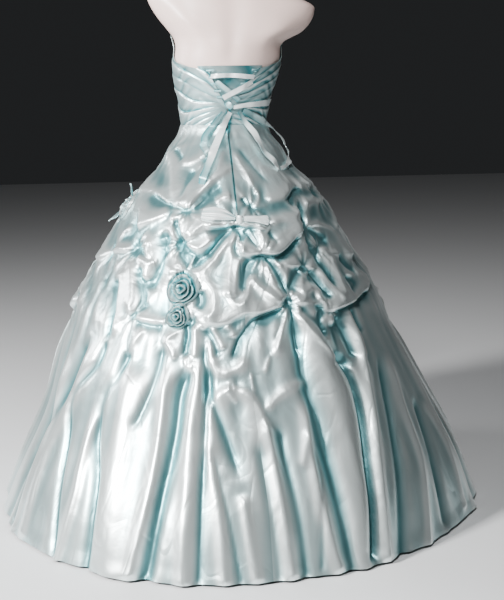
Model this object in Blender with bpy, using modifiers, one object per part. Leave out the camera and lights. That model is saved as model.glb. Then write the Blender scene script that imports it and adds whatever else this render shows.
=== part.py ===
"""Strapless ball gown with a laced back, on a limbless dress form.

Metres, +Z up. The laced back faces -Y, the front +Y and the wearer's right side +X.
The origin is the centre of the dress form's base, on the floor. Places on the gown are
given by azimuth in degrees (0 at the centre back, 90 at +X, 180 at the centre front)
and by height above the floor.
"""
import bmesh
import bpy
import numpy as np
from mathutils import Vector
from mathutils.bvhtree import BVHTree

# Driving sizes
WAIST_Z = 1.06
FORM_FOOT = 0.785
HEM_LIFT = 0.007
SATIN = 0.0024
BODICE_WALL = 0.0016
BODICE_HEIGHT = 0.16
MODESTY_WALL = 0.001
RIBBON_WALL = 0.001
GAP = 0.0003
SEAM_HALF_GAP = 0.00035
LAY_GAP = 0.0006
SETTLE_STEPS = [0.0008] * 18 + [0.0003] * 4
SETTLE_TRIES = 6
LIFT_STEP = 0.002
SLOPE_STEP = 0.012
STEEPEST = 1.2
POLE_RADIUS = 0.017
BASE_RADIUS = 0.17
BASE_HEIGHT = 0.012
SIDE_SEAM = 100.0
FORM_INSET = 0.0039
MODESTY_INSET = 0.0030
SHOULDER_TILT = -0.11
BODY_LEAN = 0.026
HEM_OFFSET = 0.027
FORM_COLUMNS = 45
FORM_ROWS_IN_BODICE = [WAIST_Z + 0.024 * k for k in range(11)]
BUST, BUST_OF_FORM = 0.024, 0.020

# Skirt rings: height, half width, half depth
SKIRT_RINGS = [
    (0.00, 0.675, 0.675), (0.15, 0.621, 0.621), (0.28, 0.563, 0.563), (0.40, 0.512, 0.512),
    (0.52, 0.456, 0.456), (0.62, 0.410, 0.410), (0.70, 0.360, 0.365), (0.78, 0.322, 0.325),
    (0.84, 0.290, 0.290), (0.90, 0.238, 0.238), (0.95, 0.190, 0.190), (1.00, 0.158, 0.145),
    (1.03, 0.132, 0.112), (1.06, 0.120, 0.098),
]
# Body rings: height, half width, half depth
BODY_RINGS = [
    (0.785, 0.105, 0.075), (0.79, 0.130, 0.095), (0.81, 0.150, 0.108), (0.88, 0.160, 0.118),
    (0.96, 0.146, 0.112), (1.02, 0.124, 0.101), (1.06, 0.1185, 0.0975), (1.10, 0.1215, 0.101),
    (1.13, 0.1265, 0.105), (1.18, 0.1415, 0.112), (1.24, 0.149, 0.117), (1.275, 0.149, 0.114),
    (1.290, 0.157, 0.109), (1.305, 0.174, 0.104), (1.330, 0.203, 0.097), (1.358, 0.222, 0.089),
    (1.385, 0.229, 0.078), (1.402, 0.226, 0.070), (1.412, 0.206, 0.064), (1.422, 0.155, 0.057),
    (1.434, 0.098, 0.054),
    (1.455, 0.068, 0.053), (1.49, 0.058, 0.053), (1.545, 0.055, 0.052), (1.55, 0.050, 0.047),
]
# Top edge of the bodice: azimuth from the centre back, height
NECKLINE = [(0, 1.215), (30, 1.222), (60, 1.245), (90, 1.283), (120, 1.300), (150, 1.318), (165, 1.315),
            (180, 1.290)]
# Open edges of the laced back: height, left azimuth, right azimuth
LACED_EDGES = [(1.06, -0.4, 0.4), (1.105, -0.8, 0.8), (1.13, -7.5, 5.5), (1.17, -18.0, 17.0),
               (1.215, -27.5, 33.0)]
# Modesty panel behind the lacing: height, half angle
MODESTY_SPREAD = [(1.105, 9.0), (1.17, 24.0), (1.23, 41.0)]

# Swags: ridge height, reach above, reach below, undercut (mm), and the way it runs (azimuth, height)
SWAGS = [
    (16, 34, 16, 8, [(-74, 0.89), (-52, 0.858), (-27, 0.84), (-14, 0.90), (-2, 0.957)]),
    (12, 26, 16, 7, [(-82, 0.992), (-66, 0.970), (-54, 0.962), (-38, 0.975)]),
    (16, 26, 14, 8, [(-21, 0.795), (-12, 0.815), (-2, 0.823), (8, 0.815), (16, 0.795)]),
    (14, 22, 14, 8, [(-23, 0.70), (-11, 0.755), (-3, 0.80)]),
    (9, 16, 12, 6, [(-28, 0.775), (-14, 0.808)]),
    (12, 28, 14, 7, [(-58, 0.745), (-46, 0.715), (-32, 0.715)]),
    (14, 24, 14, 9, [(-41, 0.665), (-37, 0.735), (-38, 0.80)]),
    (12, 18, 10, 8, [(-23, 0.70), (-16, 0.685), (-11, 0.655), (-15, 0.62)]),
    (16, 34, 14, 9, [(-66, 0.612), (-54, 0.582), (-43, 0.590), (-26, 0.583)]),
    (18, 30, 12, 12, [(-21, 0.590), (-7, 0.573), (4, 0.605), (11, 0.617), (17, 0.638)]),
    (13, 22, 13, 8, [(1, 0.745), (9, 0.755), (14, 0.753), (20, 0.765), (26, 0.80), (30, 0.845)]),
    (12, 24, 12, 7, [(15, 0.700), (24, 0.708), (36, 0.722)]),
    (19, 34, 12, 13, [(28, 0.602), (42, 0.622), (51, 0.638), (57, 0.643), (72, 0.655)]),
    (10, 18, 12, 7, [(-9, 0.70), (-4, 0.645), (4, 0.69)]),
    (12, 24, 14, 7, [(12, 0.885), (24, 0.873), (40, 0.90)]),
    (12, 22, 14, 7, [(30, 0.80), (37, 0.765), (47, 0.79), (58, 0.84)]),
    (12, 26, 14, 8, [(50, 0.735), (60, 0.71), (75, 0.745)]),
    (11, 24, 14, 7, [(42, 0.885), (56, 0.86), (70, 0.89)]),
]
# Pick-up tacks: azimuth, height, depth and radius (mm)
TACKS = [
    (-74, 0.995, 10, 24), (-66, 0.983, 8, 18), (-34, 0.862, 10, 24), (-27.5, 0.772, 13, 24),
    (-23, 0.695, 10, 22), (-54, 0.760, 14, 26), (-43, 0.602, 10, 22), (-26, 0.590, 12, 20),
    (-71, 0.590, 14, 26), (-1, 0.792, 12, 24), (9.5, 0.730, 12, 24), (28, 0.690, 12, 24),
    (16, 0.650, 14, 22), (29, 0.615, 10, 20), (41, 0.868, 12, 24), (69, 0.878, 12, 26),
    (37, 0.790, 12, 24), (52, 0.700, 10, 24), (79, 0.775, 12, 26), (66, 0.700, 12, 24),
]
# Long folds: height (mm, minus for a valley), reach to each side (mm), from the top down (azimuth, height)
LONG_FOLDS = [
    (-16, 26, [(-76, 0.56), (-77, 0.30), (-79, -0.1)]),
    (14, 26, [(-70, 0.52), (-69, 0.28), (-69, -0.1)]),
    (-15, 22, [(-60, 0.54), (-58, 0.28), (-60, -0.1)]),
    (12, 24, [(-54, 0.52), (-52, 0.28), (-52, -0.1)]),
    (-12, 20, [(-50, 0.62), (-48, 0.45), (-47, 0.25)]),
    (16, 30, [(-42, 0.50), (-37, 0.30), (-37, -0.1)]),
    (-20, 24, [(-39, 0.44), (-42, 0.20), (-44, -0.1)]),
    (12, 26, [(-33, 0.50), (-31, 0.25), (-31, -0.1)]),
    (-17, 24, [(-22, 0.50), (-24, 0.25), (-25, -0.1)]),
    (16, 26, [(-18, 0.50), (-18, 0.25), (-18, -0.1)]),
    (-20, 22, [(-12, 0.50), (-11, 0.34), (-9, 0.20), (-8, -0.1)]),
    (18, 34, [(-4, 0.42), (-3, 0.28), (-1, 0.12), (-1, -0.1)]),
    (14, 18, [(2, 0.37), (3, 0.28), (4, 0.15), (4, -0.1)]),
    (-9, 18, [(7, 0.44), (7, 0.22), (7, -0.1)]),
    (16, 22, [(13, 0.55), (11.5, 0.42), (10.5, 0.25), (10.5, -0.1)]),
    (-24, 24, [(14.5, 0.60), (16.5, 0.40), (16.5, -0.1)]),
    (18, 28, [(20, 0.55), (21, 0.36), (21, -0.1)]),
    (-22, 20, [(32, 0.52), (30, 0.42), (28, 0.33), (26.5, 0.20), (26.5, -0.1)]),
    (20, 20, [(37, 0.60), (34, 0.50), (32, 0.43), (30, 0.30), (30, -0.1)]),
    (-14, 22, [(41, 0.54), (37, 0.30), (35, -0.1)]),
    (15, 26, [(44, 0.54), (42, 0.30), (40, -0.1)]),
    (-18, 24, [(50, 0.54), (47, 0.38), (45, 0.20), (45, -0.1)]),
    (15, 28, [(56, 0.56), (54, 0.30), (52, -0.1)]),
    (-17, 24, [(62, 0.56), (60, 0.30), (58, -0.1)]),
    (14, 28, [(68, 0.56), (66, 0.30), (66, -0.1)]),
    (-14, 24, [(76, 0.56), (74, 0.30), (73, -0.1)]),
]
# The hidden front repeats the pick-ups in staggered rounds: height, first azimuth, spacing, number
FRONT_ROUNDS = [(0.600, 88.0, 26.5, 8), (0.725, 98.0, 27.0, 7), (0.865, 92.0, 35.0, 6)]
FRONT_FOLD_FROM, FRONT_FOLD_STEP, FRONT_FOLD_COUNT = 82.0, 10.4, 19
# Sweep of the hem: how far it trails (minus where it is drawn in), azimuth of its middle, half angle
HEM_SWEEP = [(0.030, -24.0, 32.0), (-0.012, 48.0, 22.0), (0.012, 84.0, 18.0)]
# Places where the skirt hangs slacker: depth, azimuth, half angle, height, half height
SLACK = [(0.028, -93.0, 34.0, 0.33, 0.20), (0.013, -88.0, 32.0, 0.87, 0.14), (0.009, 82.0, 26.0, 0.88, 0.10)]

# Skirt panels: name, from and to azimuth, columns
SKIRT_PANELS = [("skirt_back_left", -SIDE_SEAM, 0.0, 30), ("skirt_back_right", 0.0, SIDE_SEAM, 30),
                ("skirt_front", SIDE_SEAM, 360 - SIDE_SEAM, 42)]
SKIRT_ROWS = [0.0, 0.09, 0.18, 0.27, 0.35, 0.42, 0.48, 0.53, 0.565, 0.595, 0.62, 0.65, 0.68,
              0.71, 0.745, 0.78, 0.815, 0.85, 0.89, 0.93, 0.97, 1.01, 1.06]
BODICE_ROWS = 11
MODESTY_COLUMNS = 12

# Ribbons of the laced back and bow: name, width, the way it lies (azimuth, height)
RIBBON = 0.022
NARROW = 0.013
RIBBONS = [
    ("lacing_bar_top", NARROW, [(-23.5, 1.199), (0, 1.199), (28.5, 1.190)]),
    ("lacing_crossing_left", NARROW, [(-21, 1.186), (-6, 1.160), (10.5, 1.138)]),
    ("lacing_crossing_right", NARROW, [(20, 1.176), (2, 1.152), (-12, 1.137)]),
    ("lacing_tail_short_right", RIBBON, [(7, 1.110), (32, 1.117), (60, 1.122), (79, 1.126)]),
    ("lacing_loop_right_inner", RIBBON, [(5, 1.098), (18, 1.052), (26, 0.985), (35, 0.925)]),
    ("lacing_loop_right_outer", RIBBON, [(20, 1.086), (50, 1.046), (70, 1.000), (64, 0.950), (48, 0.915)]),
    ("lacing_tail_left", RIBBON, [(-4, 1.096), (-13.6, 1.050), (-17.0, 0.997), (-19.5, 0.898)]),
    ("lacing_loop_left", RIBBON, [(-9, 1.104), (-24, 1.070), (-31, 1.030), (-29.0, 0.992)]),
]
LACING_LOOP_HEIGHTS = [1.205, 1.187, 1.169, 1.151, 1.134]
LOOP_LENGTH = 0.020
LOOP_WIDTH = 0.007
KNOT = ("lacing_knot", [0.016, 0.022, 0.016], [(-4, 1.121), (1, 1.113), (6, 1.104)])
KNOT_WALL = 0.004
BOW_WALL = 0.003
LEAF_WALL = 0.0015

# Flat bow on the centre-back seam: name, width at the knot, width at the loop, way
BOW_LOOPS = [("bow_loop_left", 0.012, 0.036, [(-0.6, 0.838), (-9, 0.856), (-18, 0.850)]),
             ("bow_loop_right", 0.012, 0.034, [(1.0, 0.836), (8, 0.836), (15.5, 0.820)])]
BOW_BAND = ("bow_band", 0.020, [(0.2, 0.852), (0.2, 0.822)])
# Rosettes: name, azimuth, height, radius, how far it stands out, petal turns
ROSETTES = [("rosette_upper", -22.6, 0.664, 0.038, 0.026, 3.2),
            ("rosette_lower", -23.2, 0.593, 0.028, 0.022, 2.6),
            ("rosette_side", -78.0, 0.842, 0.030, 0.022, 2.6)]
LEAVES = [("side_leaf_up", 0.016, [(-79.5, 0.880), (-79, 0.898), (-77, 0.918)]),
          ("side_leaf_down", 0.024, [(-86.5, 0.828), (-91, 0.812), (-96, 0.795)])]
PETALS = 16
ROSETTE_CLEAR = 0.014
PETAL_RINGS = [0.2, 0.4, 0.6, 0.8, 1.0]

SATIN_COLOUR = (0.74, 0.86, 0.86)
RIBBON_COLOUR = (0.80, 0.89, 0.89)
FORM_COLOUR = (0.87, 0.82, 0.80)
STEEL_COLOUR = (0.75, 0.75, 0.76)


def clear_scene():
    for item in list(bpy.data.objects):
        bpy.data.objects.remove(item, do_unlink=True)


def material(name, colour, roughness, metallic=0.0):
    mat = bpy.data.materials.new(name)
    mat.use_nodes = True
    shader = mat.node_tree.nodes["Principled BSDF"]
    shader.inputs["Base Color"].default_value = (*colour, 1.0)
    shader.inputs["Roughness"].default_value = roughness
    shader.inputs["Metallic"].default_value = metallic
    return mat


def smooth_step(low, high, x):
    t = np.clip((x - low) / (high - low), 0, 1)
    return t * t * (3 - 2 * t)


def curve_through(x, xs, ys):
    """A smooth curve through a short table, by cubic Hermite pieces."""
    xs, ys = np.array(xs, float), np.array(ys, float)
    slope = np.gradient(ys, xs)
    i = np.clip(np.searchsorted(xs, x) - 1, 0, len(xs) - 2)
    width = xs[i + 1] - xs[i]
    t = np.clip((x - xs[i]) / width, 0, 1)
    a, b = (1 + 2 * t) * (1 - t) ** 2, t * t * (3 - 2 * t)
    c, d = t * (1 - t) ** 2, t * t * (t - 1)
    return a * ys[i] + b * ys[i + 1] + width * (c * slope[i] + d * slope[i + 1])


def rings_at(z, table):
    heights, widths, depths = zip(*table)
    return curve_through(z, heights, widths), curve_through(z, heights, depths)


def smooth_path(points, steps=4):
    """Points along a Catmull-Rom curve through the given ones."""
    pts = np.array(points, float)
    if len(pts) < 3:
        return pts
    ends = np.vstack([2 * pts[0] - pts[1], pts, 2 * pts[-1] - pts[-2]])
    way = []
    for p, q, r, s in zip(ends, ends[1:], ends[2:], ends[3:]):
        for t in np.arange(steps) / steps:
            way.append(0.5 * (2 * q + (r - p) * t + (2 * p - 5 * q + 4 * r - s) * t * t
                              + (3 * q - p - 3 * r + s) * t ** 3))
    return np.array(way + [pts[-1]])


def beside(azimuth, z, path):
    """Signed distance from a path (left of its way is positive) and the share of the way along it."""
    per_degree = np.radians(rings_at(np.clip(z, 0, WAIST_Z), SKIRT_RINGS)[0])
    way = smooth_path(path)
    nearest = np.full(azimuth.shape, 9.0)
    signed, share = nearest.copy(), np.zeros(azimuth.shape)
    for i, (p, q) in enumerate(zip(way, way[1:])):
        px = turn_between(p[0], azimuth) * per_degree
        py = p[1] - z
        dx, dy = (q[0] - p[0]) * per_degree, q[1] - p[1]
        t = np.clip(-(px * dx + py * dy) / (dx * dx + dy * dy), 0, 1)
        gap = np.hypot(px + t * dx, py + t * dy)
        closer = gap < nearest
        side = np.where(dy * px - dx * py < 0, -1.0, 1.0)
        nearest = np.where(closer, gap, nearest)
        signed = np.where(closer, gap * side, signed)
        share = np.where(closer, (i + t) / (len(way) - 1), share)
    return signed, share


def front_pickups():
    """Tacks and swags of the front, uneven like those of the back."""
    tacks, swags = [], []
    for height, first, step, count in FRONT_ROUNDS:
        line = [(first + step * k + 3 * np.sin(2.4 * k + height * 30),
                 height + 0.012 * np.sin(1.7 * k + height * 9)) for k in range(count)]
        tacks += [(a, z, 12, 24) for a, z in line]
        for k, ((a0, z0), (a1, z1)) in enumerate(zip(line, line[1:])):
            droop = 0.030 + 0.008 * np.sin(2.1 * k + height * 12)
            middle = ((a0 + a1) / 2 + 2 * np.sin(3.0 * k), (z0 + z1) / 2 - droop)
            swags.append((14, 28, 14, 8, [(a0, z0), middle, (a1, z1)]))
    return tacks, swags


def front_folds():
    """Long folds of the front, ridge and valley by turns."""
    folds = []
    for k in range(FRONT_FOLD_COUNT):
        a = FRONT_FOLD_FROM + FRONT_FOLD_STEP * k + 1.6 * np.sin(2.3 * k)
        size = 15 + 4 * np.sin(1.9 * k)
        folds.append((size if k % 2 else -size, 25, [(a + 2 * np.sin(k), 0.56), (a, 0.30), (a, -0.1)]))
    return folds


def turn_between(azimuth, other):
    return (azimuth - other + 180) % 360 - 180


def relief(azimuth, z):
    """How far the cloth stands out of the skirt's plain form."""
    front_tacks, front_swags = front_pickups()
    out = 0.0025 * np.cos(np.radians(azimuth * 24)) * smooth_step(0.86, 0.98, z)
    for ridge, above, below, undercut, path in SWAGS + front_swags:
        gap, share = beside(azimuth, z, path)
        reach = np.where(gap > 0, above, below) * 0.001
        fade = smooth_step(0, 0.16, share) * smooth_step(0, 0.16, 1 - share)
        hollow = np.exp(-((gap + 1.7 * below * 0.001) / (below * 0.001)) ** 2)
        out += 0.001 * fade * (ridge * np.exp(-(gap / reach) ** 2) - undercut * hollow)
    for a, height, depth, radius in TACKS + front_tacks:
        across = turn_between(azimuth, a) * np.radians(rings_at(z, SKIRT_RINGS)[0])
        out -= 0.001 * depth * np.exp(-(across ** 2 + (z - height) ** 2) / (radius * 0.001) ** 2)
    for size, reach, path in LONG_FOLDS + front_folds():
        gap, share = beside(azimuth, z, path)
        spread = reach * 0.001 * (0.75 + 0.5 * share)
        calm = 0.65 + 0.35 * smooth_step(0.0, 0.25, z)
        out += 0.001 * size * calm * smooth_step(0, 0.3, share) * np.exp(-(gap / spread) ** 2)
    for reach, middle, half in HEM_SWEEP:
        out += reach * np.exp(-(turn_between(azimuth, middle) / half) ** 2) * (1 - smooth_step(0.05, 0.45, z))
    for depth, middle, half, height, tall in SLACK:
        out -= depth * np.exp(-(turn_between(azimuth, middle) / half) ** 2 - ((z - height) / tall) ** 2)
    return out * (1 - smooth_step(0.99, 1.045, z))


def skirt_points(azimuth, z, out=0.0):
    width, depth = rings_at(z, SKIRT_RINGS)
    stand = relief(azimuth, z) + out
    t = np.radians(azimuth)
    lean = HEM_OFFSET * (1 - smooth_step(0.12, 0.52, z))
    return np.stack([(width + stand) * np.sin(t) + lean, -(depth + stand) * np.cos(t), z], axis=-1)


def pleats(azimuth, z):
    """Ruching of the bodice: soft pleats that gather towards the foot of the laced opening."""
    side = np.abs(turn_between(azimuth, 0))
    rise = z + 0.00045 * np.clip(side, 0, 70) * (1 - 1.2 * (WAIST_Z + 0.17 - z) / 0.17)
    wave = 0.5 + 0.5 * np.cos(2 * np.pi * (rise - WAIST_Z) / 0.030 + 0.8 * np.sin(np.radians(side * 3)))
    return 0.0030 * wave * smooth_step(4, 30, side)


def body_lean(z):
    """How far the axis of the body stands to the right of the pole."""
    return BODY_LEAN * smooth_step(1.08, 1.42, z)


def body_points(azimuth, z, out=0.0, bust=BUST):
    """The dress form's surface moved out; the form tilts a little at the shoulders."""
    width, depth = rings_at(z, BODY_RINGS)
    side = np.abs(turn_between(azimuth, 0))
    fullness = bust * np.exp(-((side - 150) / 22) ** 2 - ((z - 1.222) / 0.055) ** 2)
    blades = 0.006 * np.exp(-((side - 38) / 16) ** 2 - ((z - 1.315) / 0.04) ** 2)
    furrow = 0.006 * np.exp(-(side / 9) ** 2) * smooth_step(1.20, 1.26, z) * (1 - smooth_step(1.38, 1.42, z))
    stand = fullness + blades - furrow + out
    t = np.radians(azimuth)
    x = (width + stand) * np.sin(t)
    tilt = SHOULDER_TILT * x * smooth_step(1.25, 1.34, z) * (1 - smooth_step(1.45, 1.52, z))
    return np.stack([x + body_lean(z), -(depth + stand) * np.cos(t), z + tilt], axis=-1)


def link(mesh_object, collection, mat):
    collection.objects.link(mesh_object)
    mesh_object.data.materials.append(mat)
    return mesh_object


def grid_faces(rows, columns, closed):
    last = columns if closed else columns - 1
    return [(r * columns + c, r * columns + (c + 1) % columns,
             (r + 1) * columns + (c + 1) % columns, (r + 1) * columns + c)
            for r in range(rows - 1) for c in range(last)]


def sheet(name, points, closed, mat, collection):
    """An open surface through rows of points, each row running round or across."""
    mesh = bpy.data.meshes.new(name)
    mesh.from_pydata(points.reshape(-1, 3).tolist(), [], grid_faces(*points.shape[:2], closed))
    mesh.shade_smooth()
    return link(bpy.data.objects.new(name, mesh), collection, mat)


def thicken(item, wall, offset=-1.0):
    solid = item.modifiers.new("wall", "SOLIDIFY")
    solid.thickness = wall
    solid.offset = offset
    return item


def panel_between(name, outer, inner, mat, collection):
    """A panel lofted between its outer and inner points, so that its cut edges stay square at the seams."""
    rows, columns = outer.shape[:2]
    size = rows * columns
    grid = np.arange(size).reshape(rows, columns)
    faces = [face for r in range(rows - 1) for c in range(columns - 1)
             for face in ((grid[r, c], grid[r, c + 1], grid[r + 1, c + 1]),
                          (grid[r, c], grid[r + 1, c + 1], grid[r + 1, c]))]
    faces += [tuple(size + v for v in reversed(face)) for face in faces]
    border = np.concatenate([grid[0, :-1], grid[:-1, -1], grid[-1, :0:-1], grid[:0:-1, 0]])
    faces += [(a, a + size, b + size, b) for a, b in zip(border, np.roll(border, -1))]
    mesh = bpy.data.meshes.new(name)
    corners = np.vstack([outer.reshape(-1, 3), inner.reshape(-1, 3)])
    mesh.from_pydata(corners.tolist(), [], [tuple(int(v) for v in face) for face in faces])
    mesh.shade_smooth()
    return link(bpy.data.objects.new(name, mesh), collection, mat)


def make_form(collection, mat, steel):
    angles = np.arange(FORM_COLUMNS) * 360.0 / FORM_COLUMNS
    heights = sorted(FORM_ROWS_IN_BODICE + [row[0] for row in BODY_RINGS if not WAIST_Z <= row[0] <= 1.30])
    azimuth, z = np.meshgrid(angles, heights)
    inset = -FORM_INSET * (1 - smooth_step(1.33, 1.39, z))
    torso = sheet("form_torso", body_points(azimuth, z, inset, BUST_OF_FORM), True, mat, collection)
    cage = bmesh.new()
    cage.from_mesh(torso.data)
    bmesh.ops.holes_fill(cage, edges=[e for e in cage.edges if e.is_boundary])
    bmesh.ops.recalc_face_normals(cage, faces=cage.faces)
    cage.to_mesh(torso.data)
    cage.free()
    for name, radius, low, high in (("form_base", BASE_RADIUS, 0.0, BASE_HEIGHT),
                                    ("form_pole", POLE_RADIUS, BASE_HEIGHT + GAP, FORM_FOOT - GAP)):
        bpy.ops.mesh.primitive_cylinder_add(vertices=48 if radius == BASE_RADIUS else 24, radius=radius,
                                            depth=high - low, location=(0, 0, (low + high) / 2))
        turned = bpy.context.object
        turned.name = turned.data.name = name
        for other in turned.users_collection:
            other.objects.unlink(turned)
        link(turned, collection, steel)
    return torso


def laced_edge(z, side):
    heights, left, right = zip(*LACED_EDGES)
    return np.interp(z, heights, left if side < 0 else right)


def bodice_panel(name, start, end, columns, collection, mat):
    """A ruched panel between two edges, each an azimuth that may change with height."""
    share = np.linspace(0, 1, columns + 1)
    low = WAIST_Z + GAP
    rows = []
    for k in np.linspace(0, 1, BODICE_ROWS):
        azimuth = start(low + k * BODICE_HEIGHT) * (1 - share) + end(low + k * BODICE_HEIGHT) * share
        top = curve_through(np.abs(turn_between(azimuth, 0)), *zip(*NECKLINE))
        z = low + (top - low) * k
        azimuth = start(z[0]) * (1 - share) + end(z[-1]) * share
        rows.append(body_points(azimuth, z, pleats(azimuth, z)))
    return thicken(sheet(name, np.array(rows), False, mat, collection), BODICE_WALL)


def make_bodice(collection, mat):
    def seam(azimuth, shift):
        return lambda z: azimuth + shift * np.degrees(SEAM_HALF_GAP / 0.13)

    def laced(side):
        return lambda z: laced_edge(z, side)

    panels = [bodice_panel("bodice_back_left", seam(-SIDE_SEAM, 1), laced(-1), 14, collection, mat),
              bodice_panel("bodice_back_right", laced(1), seam(SIDE_SEAM, -1), 14, collection, mat),
              bodice_panel("bodice_front", seam(SIDE_SEAM, 1), seam(360 - SIDE_SEAM, -1), 24, collection,
                           mat)]
    rows = []
    for z in FORM_ROWS_IN_BODICE[2:8]:
        spread = curve_through(z, *zip(*MODESTY_SPREAD))
        azimuth = np.linspace(-spread, spread, MODESTY_COLUMNS + 1)
        rows.append(body_points(azimuth, z + 0 * azimuth, -MODESTY_INSET + MODESTY_WALL))
    return panels + [thicken(sheet("modesty_panel", np.array(rows), False, mat, collection), MODESTY_WALL)]


def make_skirt(collection, mat):
    panels = []
    for name, start, end, columns in SKIRT_PANELS:
        azimuth, z = np.meshgrid(np.linspace(start, end, columns + 1), SKIRT_ROWS)
        margin = np.degrees(SEAM_HALF_GAP / rings_at(z[:, 0], SKIRT_RINGS)[1])
        azimuth[:, 0] += margin
        azimuth[:, -1] -= margin
        outer, inner = skirt_points(azimuth, z), skirt_points(azimuth, z, -SATIN)
        outer[0, :, 2] += HEM_LIFT
        inner[0, :, 2] += HEM_LIFT
        panels.append(panel_between(name, outer, inner, mat, collection))
    return panels


class Surface:
    """The outside of the finished gown, which trims are laid on."""

    def __init__(self, items):
        self.trees = []
        self.add(items)

    def add(self, items):
        depsgraph = bpy.context.evaluated_depsgraph_get()
        for item in items:
            solid = item.evaluated_get(depsgraph)
            mesh = solid.to_mesh()
            corners = [vertex.co.copy() for vertex in mesh.vertices]
            mesh.calc_loop_triangles()
            self.trees.append(BVHTree.FromPolygons(corners, [tuple(t.vertices) for t in mesh.loop_triangles]))
            solid.to_mesh_clear()

    def reach(self, azimuth, z):
        """Distance from the body's axis to the outermost cloth in one direction."""
        t = np.radians(azimuth)
        outward = Vector((np.sin(t), -np.cos(t), 0.0))
        start = outward * 1.2 + Vector((body_lean(z), 0, z))
        best = 0.0
        for tree in self.trees:
            hit = tree.ray_cast(start, -outward, 1.2)
            if hit[0] is not None:
                best = max(best, 1.2 - hit[3])
        return best

    def scales(self, places):
        """Metres of cloth to a degree round and to a metre up, at each (azimuth, height)."""
        radius = np.array([self.reach(a, z) for a, z in places])
        rise = np.array([self.reach(a, z + SLOPE_STEP) - self.reach(a, z - SLOPE_STEP) for a, z in places])
        slope = np.clip(rise / (2 * SLOPE_STEP), -STEEPEST, STEEPEST)
        return np.column_stack([np.radians(radius), np.hypot(1, slope)])

    def touching(self, points, faces):
        """Faces of a trial piece that cut the cloth."""
        halves = [(number, (face[i], face[(i + 1) % len(face)], face[(i + 2) % len(face)]))
                  for number, face in enumerate(faces) for i in range(len(face) if len(face) > 3 else 1)]
        trial = BVHTree.FromPolygons([Vector(p) for p in points], [half for _, half in halves])
        return {halves[pair[1]][0] for tree in self.trees for pair in tree.overlap(trial)}

    def cover(self, azimuth, z, spread):
        """The reach round a small place, so that what lies there clears the cloth."""
        near = max(self.reach(azimuth, z), 0.05)
        turn = np.degrees(spread / near)
        steps = (-1, -0.5, 0, 0.5, 1)
        return max(self.reach(azimuth + turn * i, z + spread * j) for i in steps for j in steps)


def moved_in(points, steps):
    """Points moved towards the axis, each by its own step."""
    radius = np.hypot(points[:, 0], points[:, 1])
    nearer = points.copy()
    nearer[:, :2] *= (1 - steps / radius)[:, None]
    return nearer


def settle(points, faces, surface, rigid=False):
    """Let a piece down on the gown in short steps, each point as far as its faces stay clear."""
    whole = np.ones(len(points))
    while surface.touching(moved_in(points, whole * GAP), faces):
        points = moved_in(points, -whole * LIFT_STEP)
    for step in SETTLE_STEPS:
        steps = whole * step
        for _ in range(SETTLE_TRIES):
            touching = surface.touching(moved_in(points, steps + GAP), faces)
            if not touching or not steps.any():
                break
            steps[np.arange(len(points)) if rigid else sorted({v for f in touching for v in faces[f]})] = 0.0
        else:
            steps[:] = 0.0
        points = moved_in(points, steps)
    return points


def laid_strip(name, widths, path, surface, collection, mat, wall=RIBBON_WALL, spacing=0.018):
    """A flat strip lying on the gown along a path; widths are given from its start to its end."""
    way = smooth_path(path, 8)
    runs = np.linalg.norm(np.diff(way, axis=0) * surface.scales(way)[1:], axis=1)
    length = np.concatenate([[0], np.cumsum(runs)])
    steps = max(2, int(round(length[-1] / spacing)))
    at = np.linspace(0, length[-1], steps + 1)
    middle = np.column_stack([np.interp(at, length, way[:, k]) for k in (0, 1)])
    scale = surface.scales(middle)
    heading = np.gradient(middle, axis=0) * scale
    heading /= np.linalg.norm(heading, axis=1)[:, None]
    width = np.interp(at / at[-1], np.linspace(0, 1, len(widths)), widths)
    rows = []
    for place, ahead, per, wide in zip(middle, heading, scale, width):
        row = []
        for across in (-0.5, 0.0, 0.5):
            azimuth, z = place + across * wide * np.array([-ahead[1], ahead[0]]) / per
            row.append([azimuth, z, surface.cover(azimuth, z, max(spacing * 0.65, wide * 0.4)) + LAY_GAP])
        rows.append(row)
    rows = np.array(rows)
    t = np.radians(rows[:, :, 0])
    across = rows[:, :, 2] * np.sin(t) + body_lean(rows[:, :, 1])
    points = np.stack([across, -rows[:, :, 2] * np.cos(t), rows[:, :, 1]], axis=-1)
    faces = grid_faces(*points.shape[:2], False)
    points = settle(points.reshape(-1, 3), faces, surface).reshape(points.shape)
    strip = sheet(name, points, False, mat, collection)
    cage = bmesh.new()
    cage.from_mesh(strip.data)
    outward = sum((f.normal.dot(Vector((*f.calc_center_median()[:2], 0))) for f in cage.faces))
    if outward < 0:
        bmesh.ops.reverse_faces(cage, faces=cage.faces)
    cage.to_mesh(strip.data)
    cage.free()
    thicken(strip, wall, 1.0)
    surface.add([strip])
    return strip


def make_lacing(surface, collection, mat):
    for side, word in ((-1, "left"), (1, "right")):
        for number, z in enumerate(LACING_LOOP_HEIGHTS, 1):
            edge = float(laced_edge(z, side))
            inner, outer = edge + side * 0.6, edge + side * np.degrees(LOOP_LENGTH / 0.13)
            laid_strip(f"lacing_loop_{word}_{number}", [LOOP_WIDTH] * 2, [(inner, z), (outer, z)], surface,
                       collection, mat, spacing=0.010)
    for name, width, path in RIBBONS:
        laid_strip(name, [width, width], path, surface, collection, mat)
    name, widths, path = KNOT
    laid_strip(name, widths, path, surface, collection, mat, wall=KNOT_WALL, spacing=0.008)


def make_bow(surface, collection, mat):
    for name, knot_width, loop_width, path in BOW_LOOPS:
        laid_strip(name, [knot_width, loop_width, loop_width], path, surface, collection, mat, wall=BOW_WALL)
    name, width, path = BOW_BAND
    laid_strip(name, [width, width], path, surface, collection, mat, wall=BOW_WALL)


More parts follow.
